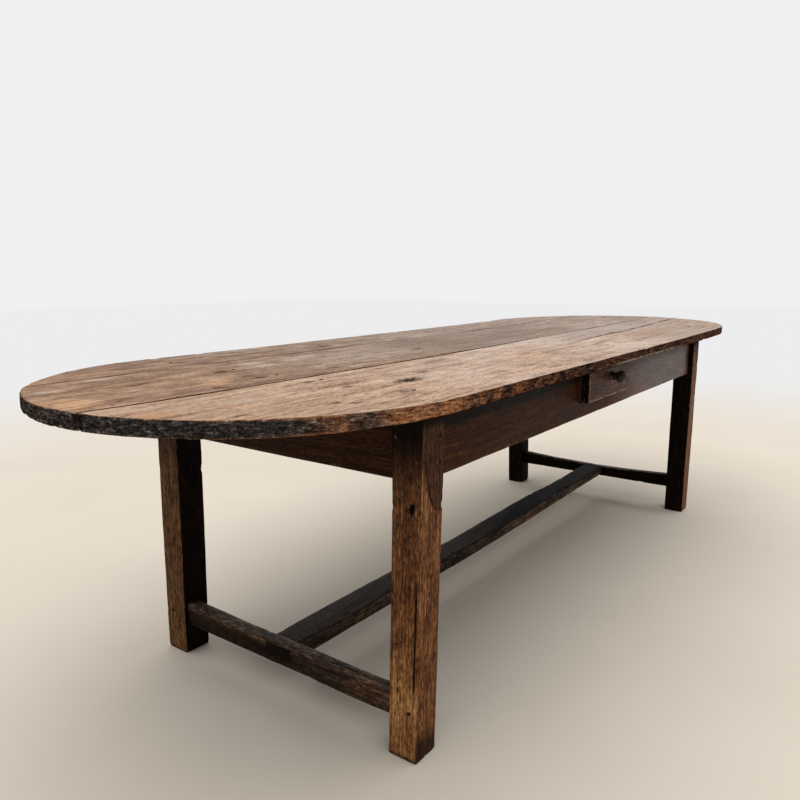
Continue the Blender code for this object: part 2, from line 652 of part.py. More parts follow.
def make_drawer_front():
    low = (DRAWER_X - DRAWER_HALF, DRAWER_FACE, DRAWER_LOW)
    high = (DRAWER_X + DRAWER_HALF, DRAWER_FRONT_BACK, DRAWER_LOW + DRAWER_HEIGHT)
    bm = box(low, high)
    face_edges = [e for e in bm.edges if all(abs(v.co.y - DRAWER_FACE) < CLEARANCE for v in e.verts)]
    bmesh.ops.bevel(bm, geom=face_edges, offset=DRAWER_FRONT_ARRIS, segments=1, affect='EDGES')
    front = solid("drawer_front", bm)
    tip = DRAWER_FRONT_BACK - TAIL_LENGTH - CLEARANCE
    mouth = DRAWER_FRONT_BACK + PASS_THROUGH
    for side in (-1, 1):
        inner = DRAWER_X + side * (DRAWER_HALF - DRAWER_SIDE_THICKNESS - CLEARANCE)
        beyond = DRAWER_X + side * (DRAWER_HALF + PASS_THROUGH)
        for middle in tail_middles():
            wide = tail_half_width(tip) + CLEARANCE
            narrow = tail_half_width(mouth) + CLEARANCE
            socket = [(tip, middle - wide), (mouth, middle - narrow)]
            socket += [(mouth, middle + narrow), (tip, middle + wide)]
            cut(front, side_prism(socket, inner, beyond))
    half = DRAWER_HALF - DRAWER_SIDE_THICKNESS + GROOVE_DEPTH
    groove_low = (DRAWER_X - half, DRAWER_FRONT_BACK - GROOVE_DEPTH, DRAWER_BOTTOM_LOW - CLEARANCE)
    groove_high = (DRAWER_X + half, mouth, DRAWER_BOTTOM_HIGH + CLEARANCE)
    cut(front, box(groove_low, groove_high))
    return front


def make_drawer_bottom():
    reach = DRAWER_HALF - DRAWER_SIDE_THICKNESS + GROOVE_DEPTH - CLEARANCE
    low = (DRAWER_X - reach, DRAWER_FRONT_BACK - GROOVE_DEPTH + CLEARANCE, DRAWER_BOTTOM_LOW)
    high = (DRAWER_X + reach, DRAWER_REAR, DRAWER_BOTTOM_HIGH)
    return solid("drawer_bottom", box(low, high))


def make_drawer_back(sides):
    reach = DRAWER_HALF - DRAWER_SIDE_THICKNESS + HOUSING_DEPTH
    side_top = DRAWER_LOW + DRAWER_SIDE_HEIGHT
    rear = DRAWER_REAR - DRAWER_BACK_INSET
    low = (DRAWER_X - reach, rear - DRAWER_BACK_THICKNESS, DRAWER_BOTTOM_HIGH + CLEARANCE)
    high = (DRAWER_X + reach, rear, side_top - DRAWER_BACK_DROP)
    open_high = (high[0], high[1], side_top + PASS_THROUGH)
    for side in sides:
        cut(side, grown_box(low, open_high, CLEARANCE))
    return solid("drawer_back", box(low, high))


def knob_profile():
    # Shank, collar, neck and flattened head, as radii and distances in front of the drawer
    shank, collar = KNOB_SHANK_DIAMETER / 2, KNOB_COLLAR_DIAMETER / 2
    neck, head = KNOB_NECK_DIAMETER / 2, KNOB_HEAD_DIAMETER / 2
    neck_start = KNOB_COLLAR_LENGTH
    head_start = neck_start + KNOB_NECK_LENGTH
    profile = [(shank, -DRAWER_FRONT_THICKNESS), (shank, CLEARANCE), (collar, CLEARANCE)]
    profile += [(collar, KNOB_COLLAR_LENGTH / 2), (neck, neck_start), (neck, head_start)]
    first = math.acos(neck / head)
    last = KNOB_HEAD_STOP
    for i in range(1, KNOB_HEAD_STEPS + 1):
        angle = -first + (first + last) * i / KNOB_HEAD_STEPS
        rise = (math.sin(angle) + math.sin(first)) / (math.sin(last) + math.sin(first))
        profile.append((head * math.cos(angle), head_start + KNOB_HEAD_LENGTH * rise))
    return profile


def make_knob(front):
    def ring(radius, distance):
        angles = [math.tau * i / KNOB_FACETS for i in range(KNOB_FACETS)]
        return [(radius * math.cos(a), -distance, radius * math.sin(a)) for a in angles]
    shank = KNOB_SHANK_DIAMETER / 2
    knob = solid("drawer_knob", loft([ring(*point) for point in knob_profile()]))
    knob.data.transform(Matrix.Translation((DRAWER_X, DRAWER_FACE, KNOB_HEIGHT)))
    hole = loft([ring(shank + CLEARANCE, d) for d in (-DRAWER_FRONT_THICKNESS - PASS_THROUGH, PASS_THROUGH)])
    hole.transform(Matrix.Translation((DRAWER_X, DRAWER_FACE, KNOB_HEIGHT)))
    cut(front, hole)
    knob.data.shade_smooth()
    knob.data.set_sharp_from_angle(angle=SMOOTH_ANGLE)
    return knob


def make_drawer(parent):
    front = make_drawer_front()
    sides = [make_drawer_side("left", -1), make_drawer_side("right", 1)]
    back = make_drawer_back(sides)
    bottom = make_drawer_bottom()
    knob = make_knob(front)
    middle = (DRAWER_X, DRAWER_FRONT_BACK, DRAWER_LOW)
    place(front, "drawer_front_wood", middle, parent)
    for piece in sides + [back, bottom]:
        place(piece, "drawer_box_wood", middle, parent)
    place(knob, "knob_wood", (DRAWER_X, DRAWER_FACE, KNOB_HEIGHT), parent)


# The table

def make_table():
    clear_scene()
    make_woods()
    table_frame = make_empty("table_frame", Vector((0, 0, 0)))
    drawer_slide = make_empty("drawer_slide", Vector((DRAWER_X, DRAWER_FACE, DRAWER_LOW)))
    legs = {name: make_leg(name, *sides) for name, sides in LEGS.items()}
    long_aprons = {name: make_long_apron(name, side, legs) for name, side in LONG_SIDES.items()}
    end_aprons = {name: make_end_apron(name, side, legs) for name, side in ENDS.items()}
    drive_apron_pegs(legs, long_aprons, end_aprons, table_frame)
    left_size = (LEFT_STRETCHER_BOTTOM, LEFT_STRETCHER_HEIGHT, LEFT_STRETCHER_HOLLOW)
    right_size = (RIGHT_STRETCHER_BOTTOM, RIGHT_STRETCHER_HEIGHT, RIGHT_STRETCHER_HOLLOW)
    left = make_end_stretcher("left", -1, *left_size, legs, table_frame)
    right = make_end_stretcher("right", 1, *right_size, legs, table_frame)
    make_centre_stretcher(left, right, table_frame)
    boards = make_top()
    drive_top_pegs(boards, legs, end_aprons, table_frame)
    cut_drawer_notch(long_aprons["front"])
    for name, side in ENDS.items():
        make_runner(name, side, long_aprons, table_frame)
    make_drawer(drawer_slide)

    for board in boards.values():
        place(board, "top_wood", (0, 0, TOP_UNDERSIDE), table_frame)
        board.data.shade_smooth()
        board.data.set_sharp_from_angle(angle=SMOOTH_ANGLE)
    for name, (side_x, side_y) in LEGS.items():
        outer_x, inner_x, outer_y, inner_y = leg_faces(0)
        foot = frame_point(side_x * (outer_x + inner_x) / 2, side_y * (outer_y + inner_y) / 2, 0)
        place(legs[name], "leg_wood", foot, table_frame)
    for name, side_y in LONG_SIDES.items():
        foot = frame_point(0, side_y * LONG_APRON_FACE, APRON_BOTTOM)
        place(long_aprons[name], "apron_wood", foot, table_frame)
    for name, side_x in ENDS.items():
        foot = frame_point(side_x * END_APRON_FACE, 0, APRON_BOTTOM)
        place(end_aprons[name], "apron_wood", foot, table_frame)


make_table()
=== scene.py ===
import math
import bpy
import numpy as np
from mathutils import Matrix, Vector
from mathutils.kdtree import KDTree


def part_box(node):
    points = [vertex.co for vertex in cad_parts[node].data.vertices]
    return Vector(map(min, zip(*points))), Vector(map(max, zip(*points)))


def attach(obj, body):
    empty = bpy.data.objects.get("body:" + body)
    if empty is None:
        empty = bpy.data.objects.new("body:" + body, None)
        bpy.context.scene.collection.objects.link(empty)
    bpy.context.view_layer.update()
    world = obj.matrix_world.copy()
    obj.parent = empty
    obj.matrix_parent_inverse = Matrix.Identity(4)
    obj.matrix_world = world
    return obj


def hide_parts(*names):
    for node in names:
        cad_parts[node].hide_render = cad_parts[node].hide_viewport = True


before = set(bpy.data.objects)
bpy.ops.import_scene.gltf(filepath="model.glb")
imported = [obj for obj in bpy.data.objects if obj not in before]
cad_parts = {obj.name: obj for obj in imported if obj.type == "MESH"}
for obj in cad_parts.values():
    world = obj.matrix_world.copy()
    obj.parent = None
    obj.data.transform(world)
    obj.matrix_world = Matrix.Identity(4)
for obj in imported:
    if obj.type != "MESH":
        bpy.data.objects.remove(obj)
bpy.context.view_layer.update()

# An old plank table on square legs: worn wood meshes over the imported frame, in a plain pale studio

scene = bpy.context.scene


# Easing, noise and surface layers that age the meshes

def smooth(low, high, value):
    part = np.clip((value - low) / (high - low), 0, 1)
    return part * part * (3 - 2 * part)


def span(start, full, fullEnd, end, value):  # rises from start to full, falls from fullEnd to end
    return smooth(start, full, value) * smooth(end, fullEnd, value)


def bell(distance, width):
    return np.exp(-(distance / width) ** 2)


def facing(amount):  # 1 where a normal points this way
    return smooth(0.3, 0.8, amount)


def scramble(cells, seed):  # a repeatable number from 0 to 1 for each whole-number cell
    mixed = cells[:, 0] * 73856093 ^ cells[:, 1] * 19349663 ^ cells[:, 2] * 83492791 ^ (seed * 40503 + 977)
    mixed = (mixed ^ (mixed >> 13)) * 1274126177
    return ((mixed ^ (mixed >> 16)) & 65535) / 65535


def swell(points, size, seed):  # smooth noise from -1 to 1, each swell as long as size
    grid = points / np.asarray(size)
    cells = np.floor(grid).astype(np.int64)
    part = grid - cells
    part = part * part * (3 - 2 * part)
    total = np.zeros(len(points))
    for corner in np.ndindex(2, 2, 2):
        weight = np.prod(np.where(corner, part, 1 - part), axis=1)
        total += weight * scramble(cells + np.array(corner), seed)
    return 2 * total - 1


def swellAlong(x, size, seed):
    return swell(np.column_stack([x, 0 * x, 0 * x]), (size, 1, 1), seed)


def chips(points, size, seed, share):  # 0 almost everywhere, up to 1 in scattered bites
    coarse = swell(points, size, seed)
    fine = swell(points, np.array(size) / 2.7, seed + 7)
    return smooth(1 - share, 1, 0.5 + 0.5 * coarse + 0.12 * fine)


def deepen(shape, layer, amount):  # the layer shows at least this much
    shape[layer] = np.maximum(shape.get(layer, 0), amount)


def moveGrain(shape, seed, along=1.3, across=0.17):  # no two pieces share their figure
    shape["grain"] = shape["grain"] + np.array((seed * along, seed * across, 0))


# Shape makers: a plank cut from a grid, and a rail or leg lofted along its length

edgeReach = {"face": 0.006, "wall": 0.004, "corner": 0.005, "end": 0.004}   # how far rubbing spreads


def slab(xs, ys, depth, arris, wallRows, keep=None):
    wide, tall = xs.shape
    ids = np.arange(wide * tall).reshape(wide, tall)
    quads = np.stack([ids[:-1, :-1], ids[1:, :-1], ids[1:, 1:], ids[:-1, 1:]], axis=-1)
    quads = quads.reshape(-1, 4) if keep is None else quads[keep]
    directed = {(a, b) for quad in quads.tolist() for a, b in zip(quad, quad[1:] + quad[:1])}
    after = {a: b for a, b in directed if (b, a) not in directed}
    loop = [min(after)]
    while after[loop[-1]] != loop[0]:
        loop.append(after[loop[-1]])
    flat = np.stack([xs.ravel(), ys.ravel()], axis=1)
    rim = flat[loop]
    along = np.roll(rim, -1, axis=0) - rim
    side = np.stack([along[:, 1], -along[:, 0]], axis=1)
    side /= np.linalg.norm(side, axis=1)[:, None]
    out = side + np.roll(side, 1, axis=0)
    out /= np.linalg.norm(out, axis=1)[:, None]
    mitre = 1 / np.clip((out * side).sum(axis=1), 0.7, 1)
    radius = arris(rim) if callable(arris) else np.full(len(rim), arris)

    used = np.unique(quads)
    newId = np.full(wide * tall, -1)
    newId[used] = np.arange(len(used))
    ring = newId[loop]
    face = flat[used].copy()
    face[ring] = rim - out * (mitre * radius)[:, None]
    tree = KDTree(len(rim))
    for index, (x, y) in enumerate(rim):
        tree.insert((x, y, 0), index)
    tree.balance()
    near = np.array([tree.find((x, y, 0))[2] for x, y in face])
    count = len(used)
    zero = np.zeros(count)
    points = [np.column_stack([face, zero]), np.column_stack([face, zero - depth])]
    normals = [np.tile((0, 0, 1.0), (count, 1)), np.tile((0, 0, -1.0), (count, 1))]
    edge = [np.exp(-near / edgeReach["face"])] * 2
    sides = [np.ones(count), -np.ones(count)]
    turns = [math.radians(a) for a in (30, 60, 90)]
    rows = [(a, radius * (1 - math.sin(a)), radius * (1 - math.cos(a))) for a in turns]
    for part in np.linspace(0, 1, wallRows + 2)[1:-1]:
        rows.append((math.pi / 2, 0 * radius, radius + part * (depth - 2 * radius)))
    rows += [(math.pi - a, inset, depth - down) for a, inset, down in reversed(rows[:3])]
    for angle, inset, down in rows:
        points.append(np.column_stack([rim - out * (mitre * inset)[:, None], -down]))
        normals.append(np.column_stack([out * math.sin(angle), np.full(len(rim), math.cos(angle))]))
        toArris = np.minimum(np.abs(down - radius * 0.4), np.abs(depth - down - radius * 0.4))
        edge.append(np.exp(-toArris / edgeReach["wall"]))
        sides.append(np.zeros(len(rim)))
    m = len(loop)
    rings = [ring] + [2 * count + k * m + np.arange(m) for k in range(len(rows))] + [ring + count]
    walls = [np.stack([a, b, np.roll(b, -1), np.roll(a, -1)], axis=1) for a, b in zip(rings, rings[1:])]
    faces = np.vstack([newId[quads], newId[quads][:, ::-1] + count] + walls)
    points = np.vstack(points)
    return {"points": points, "faces": faces.tolist(), "out": np.vstack(normals),
            "edge": np.concatenate(edge), "side": np.concatenate(sides), "grain": points.copy()}


def section(width, height, arris, spacing):  # rounded oblong, with how near each point is to a corner
    ring, out, edge = [], [], []
    y, z = width / 2 - arris, height / 2 - arris
    corners = [(y, -z, -90), (y, z, 0), (-y, z, 90), (-y, -z, 180)]
    for index, (y, z, start) in enumerate(corners):
        for a in np.radians(start + np.linspace(0, 90, 6)):
            ring.append((y + arris * math.cos(a), z + arris * math.sin(a)))
            out.append((math.cos(a), math.sin(a)))
            edge.append(1.0)
        begin = np.array(ring[-1])
        nextY, nextZ, nextStart = corners[(index + 1) % 4]
        a = math.radians(nextStart)
        finish = np.array((nextY, nextZ)) + arris * np.array((math.cos(a), math.sin(a)))
        length = np.linalg.norm(finish - begin)
        steps = max(2, int(length / spacing))
        for k in range(1, steps):
            ring.append(tuple(begin + (finish - begin) * k / steps))
            out.append(out[-1])
            edge.append(math.exp(-min(k, steps - k) * length / steps / edgeReach["corner"]))
    return np.array(ring), np.array(out), np.array(edge)


def beam(length, width, height, arris, spacing, step, endArris):
    ring, out, edge = section(width, height, arris, spacing)
    m = len(ring)
    turns = [math.radians(a) for a in (90, 60, 30)]
    stations = [(endArris * (1 - math.sin(a)), endArris * (1 - math.cos(a)), -math.sin(a)) for a in turns]
    middle = np.linspace(endArris, length - endArris, max(3, int((length - 2 * endArris) / step)))
    stations += [(x, 0.0, 0.0) for x in middle]
    stations += [(length - x, inset, -lean) for x, inset, lean in reversed(stations[:3])]
    points, normals, edges = [], [], []

    def lay(x, scale, inset, lean, amount):
        points.append(np.column_stack([np.full(m, x), (ring - out * inset) * scale]))
        normals.append(np.column_stack([np.full(m, lean), out * math.sqrt(max(0, 1 - lean * lean))]))
        edges.append(np.maximum(edge * scale, amount))

    capScale, capEdge = 0.55, 0.1   # an inner ring on each end face
    lay(0, capScale, endArris, -1, capEdge)
    for x, inset, lean in stations:
        lay(x, 1, inset, lean, math.exp(-min(x, length - x) / edgeReach["end"]))
    lay(length, capScale, endArris, 1, capEdge)
    rows = len(points)
    rowIds = [np.arange(m) + k * m for k in range(rows)]
    faces = []
    for a, b in zip(rowIds, rowIds[1:]):
        faces += np.stack([a, np.roll(a, -1), np.roll(b, -1), b], axis=1).tolist()
    first, last = rows * m, rows * m + 1
    faces += [[first, (i + 1) % m, i] for i in range(m)]
    faces += [[last, rowIds[-1][i], rowIds[-1][(i + 1) % m]] for i in range(m)]
    points.append(np.array([(0, 0, 0), (length, 0, 0)], float))
    normals.append(np.array([(-1, 0, 0), (1, 0, 0)], float))
    edges.append(np.zeros(2))
    points = np.vstack(points)
    return {"points": points, "faces": faces, "out": np.vstack(normals), "edge": np.concatenate(edges),
            "side": np.zeros(len(points)), "grain": points.copy()}


def age(shape, wear, seed):  # waves, fibres, rubbed arrises and bites, all along the shape's normals
    grain, edge = shape["grain"], shape["edge"]
    move = wear["wave"] * swell(grain, wear["waveSize"], seed)
    move += wear["ripple"] * swell(grain, wear["rippleSize"], seed + 1)
    move -= wear["rub"] * edge * (0.6 + 0.4 * swell(grain, (0.09, 0.02, 0.02), seed + 2))
    shape["bite"] = chips(grain, wear["chipSize"], seed + 3, wear["chipShare"]) * edge
    move -= wear["chip"] * shape["bite"]
    shape["points"] = shape["points"] + shape["out"] * move[:, None]
    return shape


def turn(shape, outward, origin):  # lays a shape with its front facing outward and its up along Z
    z = Vector(outward)
    x = Vector((0, 0, 1)).cross(z)
    frameAxes = np.array([x, (0, 0, 1), z])
    shape["points"] = shape["points"] @ frameAxes + np.array(origin)
    shape["out"] = shape["out"] @ frameAxes
    return shape


def addObject(name, data):
    made = bpy.data.objects.new(name, data)
    scene.collection.objects.link(made)
    return made


def makePiece(name, shape, material, nodes, body="table"):
    mesh = bpy.data.meshes.new(name)
    mesh.from_pydata(shape["points"].tolist(), [], shape["faces"])
    mesh.polygons.foreach_set("use_smooth", [True] * len(mesh.polygons))
    for key in ("wear", "dirt", "gold", "rim", "ash", "polish"):
        layer = mesh.attributes.new(key, "FLOAT", "POINT")
        values = np.clip(shape.get(key, np.full(len(mesh.vertices), float(key == "polish"))), 0, 1)
        layer.data.foreach_set("value", values.astype(np.float32))
    layer = mesh.attributes.new("grain", "FLOAT_VECTOR", "POINT")
    layer.data.foreach_set("vector", shape["grain"].astype(np.float32).ravel())
    mesh.materials.append(material)
    mesh.update()
    piece = addObject(name, mesh)
    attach(piece, body)
    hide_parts(*nodes)
    return piece


# Node helpers: they draw on the tree in hand

canvas = {"tree": None}


def tint(code):  # "#rrggbb" as it looks on a screen, to Blender's own colour
    parts = [int(code[k:k + 2], 16) / 255 for k in (1, 3, 5)]
    return tuple(c / 12.92 if c <= 0.04045 else ((c + 0.055) / 1.055) ** 2.4 for c in parts) + (1.0,)


def feed(socket, value):
    if isinstance(value, bpy.types.NodeSocket):
        canvas["tree"].links.new(value, socket)
    else:
        socket.default_value = value


def put(kind, inputs=None, **settings):
    made = canvas["tree"].nodes.new(kind if "Node" in kind else "ShaderNode" + kind)
    for key, value in settings.items():
        setattr(made, key, value)
    for key, value in (inputs or {}).items():
        feed(made.inputs[key], value)
    return made


def calc(operation, *values):
    made = put("Math", operation=operation)
    for socket, value in zip(made.inputs, values):
        feed(socket, value)
    return made.outputs[0]


def times(first, second, plus=0.0):
    return calc("MULTIPLY_ADD", first, second, plus)


def vectors(operation, first, second=(0, 0, 0), output=0):
    return put("VectorMath", {0: first, 1: second}, operation=operation).outputs[output]


def ease(value, low, high):
    inputs = {"Value": value, "From Min": low, "From Max": high}
    return put("MapRange", inputs, interpolation_type="SMOOTHSTEP").outputs["Result"]


def between(value, low, high):  # 0 to 1 becomes low to high
    return put("MapRange", {"Value": value, "To Min": low, "To Max": high}).outputs["Result"]


def noise(place, scale=(1, 1, 1), detail=2.0, rough=0.55):
    inputs = {"Vector": vectors("MULTIPLY", place, scale), "Scale": 1.0, "Detail": detail, "Roughness": rough}
    return put("TexNoise", inputs).outputs["Fac"]


def blend(mask, under, over):
    made = put("Mix", data_type="RGBA")
    for index, value in ((0, mask), (6, under), (7, over)):
        feed(made.inputs[index], value)
    return made.outputs[2]


def ramp(value, codes):
    made = put("ValToRGB", {"Fac": value})
    stops = made.color_ramp.elements
    while len(stops) < len(codes):
        stops.new(0.5)
    for k, code in enumerate(codes):
        stops[k].position = k / (len(codes) - 1)
        stops[k].color = tint(code)
    return made.outputs["Color"]


def layerOf(name, output="Fac"):
    return put("Attribute", attribute_name=name).outputs[output]


def startGroup(name, inputs, outputs):
    tree = bpy.data.node_groups.new(name, "ShaderNodeTree")
    canvas["tree"] = tree
    for label, value in inputs.items():
        kind = "NodeSocketVector" if value is None or isinstance(value, tuple) else "NodeSocketFloat"
        socket = tree.interface.new_socket(label, in_out="INPUT", socket_type=kind)
        if value is not None:
            socket.default_value = value
    for label in outputs:
        tree.interface.new_socket(label, in_out="OUTPUT", socket_type="NodeSocketFloat")
    return tree, tree.nodes.new("NodeGroupInput").outputs, tree.nodes.new("NodeGroupOutput").inputs


def useGroup(group, inputs):
    return put("Group", inputs, node_tree=group).outputs


def startMaterial(name):
    material = bpy.data.materials.new(name)
    material.use_nodes = True
    canvas["tree"] = material.node_tree
    return material, material.node_tree.nodes["Principled BSDF"].inputs


# Grain along the length of a piece: broad streaks, dark dashes, fine fibres, growth rings and open pores
grainInputs = {"Grain": None, "Ring Width": 0.007, "Pith Depth": 0.1, "Pith Side": 0.0, "Streak Width": 0.028}
woodGrain, given, result = startGroup("woodGrain", grainInputs, ("Streak", "Dash", "Fibre", "Ring", "Pore"))
slow = noise(given["Grain"], (1.3, 3.0, 3.0), 2)
slowAlso = noise(given["Grain"], (1.9, 2.0, 2.0), 1)
sway = put("CombineXYZ", {"Y": times(slow, 0.06, -0.03)}).outputs[0]
bent = vectors("ADD", given["Grain"], sway)
parts = put("SeparateXYZ", {0: bent}).outputs
across = calc("SUBTRACT", parts["Y"], given["Pith Side"])
below = calc("ADD", calc("ADD", parts["Z"], given["Pith Depth"]), times(slowAlso, 0.09, -0.045))
fromPith = calc("SQRT", calc("ADD", times(across, across), times(below, below)))
fineRing = noise(bent, (9.0, 150.0, 150.0), 2)
phase = calc("ADD", calc("DIVIDE", fromPith, given["Ring Width"]), times(fineRing, 0.8))
feed(result["Ring"], calc("POWER", calc("FRACT", phase), 2.2))
thin = calc("DIVIDE", 1.0, given["Streak Width"])
streakScale = put("CombineXYZ", {"X": 4.0, "Y": thin, "Z": thin}).outputs[0]
feed(result["Streak"], noise(bent, streakScale, 5, 0.66))
dashThin = times(thin, 3.4)
dashScale = put("CombineXYZ", {"X": 4.5, "Y": dashThin, "Z": dashThin}).outputs[0]
feed(result["Dash"], ease(noise(bent, dashScale, 3, 0.6), 0.58, 0.72))
feed(result["Fibre"], noise(bent, (8.0, 400.0, 400.0), 3, 0.62))
feed(result["Pore"], ease(noise(bent, (34.0, 620.0, 620.0), 1), 0.6, 0.74))

# Age on any surface: cloudy blotches, dark specks, pale flecks along the grain and scratches across it
patinaOutputs = ("Blotch", "Cloud", "Grit", "Speck", "Fleck", "Scratch")
oldPatina, given, result = startGroup("oldPatina", {"Grain": None}, patinaOutputs)
feed(result["Blotch"], noise(given["Grain"], (12.0, 26.0, 26.0), 5, 0.66))
feed(result["Cloud"], noise(given["Grain"], (1.7, 5.0, 5.0), 3, 0.5))
feed(result["Grit"], noise(given["Grain"], (62.0, 230.0, 230.0), 4, 0.7))
apart = {"Vector": given["Grain"], "Location": (3.1, 1.7, 0.4), "Scale": (110.0, 240.0, 240.0)}
feed(result["Speck"], ease(noise(put("Mapping", apart).outputs[0]), 0.63, 0.72))
feed(result["Fleck"], ease(noise(given["Grain"], (75.0, 290.0, 290.0), 3), 0.61, 0.72))
slanted = {"Vector": given["Grain"], "Rotation": (0.3, 0.2, 0.9), "Scale": (18.0, 420.0, 60.0)}
feed(result["Scratch"], ease(noise(put("Mapping", slanted).outputs[0], detail=1), 0.69, 0.79))

# Where handling has rubbed an arris: the mesh's wear layer broken up by noise
rubbedArris, given, result = startGroup("rubbedArris", {"Grain": None, "Wear": 0.0}, ("Mask",))
ragged = noise(given["Grain"], (26.0, 90.0, 90.0), 5, 0.68)
feed(result["Mask"], ease(times(calc("SUBTRACT", ragged, 0.5), 2.2, given["Wear"]), 0.45, 0.95))

# A drying shake: a thin dark line from one place on the grain to another, narrowing and widening
shakeInputs = {"Grain": None, "From": 0.0, "Start": 0.0, "To": 1.0, "End": 0.0, "Width": 0.002}
shakeLine, given, result = startGroup("shakeLine", shakeInputs, ("Mask",))
parts = put("SeparateXYZ", {0: given["Grain"]}).outputs
ends = {"Value": parts["X"], "From Min": given["From"], "From Max": given["To"]}
share = put("MapRange", ends).outputs["Result"]
wander = times(noise(given["Grain"], (7.0, 2.0, 2.0), 3), 0.012, -0.006)
middleLine = calc("ADD", given["Start"], times(share, calc("SUBTRACT", given["End"], given["Start"])))
away = calc("ABSOLUTE", calc("SUBTRACT", parts["Y"], calc("ADD", middleLine, wander)))
fade = times(ease(share, 0.0, 0.12), ease(share, 1.0, 0.88))
patchy = ease(noise(given["Grain"], (11.0, 3.0, 3.0), 3), 0.33, 0.48)
opening = times(given["Width"], times(patchy, 0.65, 0.35))
line = ease(calc("DIVIDE", away, opening), 1.0, 0.3)
feed(result["Mask"], times(line, times(fade, times(patchy, 0.55, 0.45))))

# A knot or stain: a core with a ragged edge, longer along the grain
knotInputs = {"Grain": None, "Centre": (0.0, 0.0, 0.0), "Radius": 0.01}
knotMark, given, result = startGroup("knotMark", knotInputs, ("Mask",))
offset = vectors("MULTIPLY", vectors("SUBTRACT", given["Grain"], given["Centre"]), (0.5, 1.0, 0.2))
reach = vectors("LENGTH", offset, output="Value")
torn = noise(given["Grain"], (70.0, 190.0, 190.0), 4, 0.65)
feed(result["Mask"], ease(times(torn, 2.6, calc("DIVIDE", reach, given["Radius"])), 2.2, 1.5))


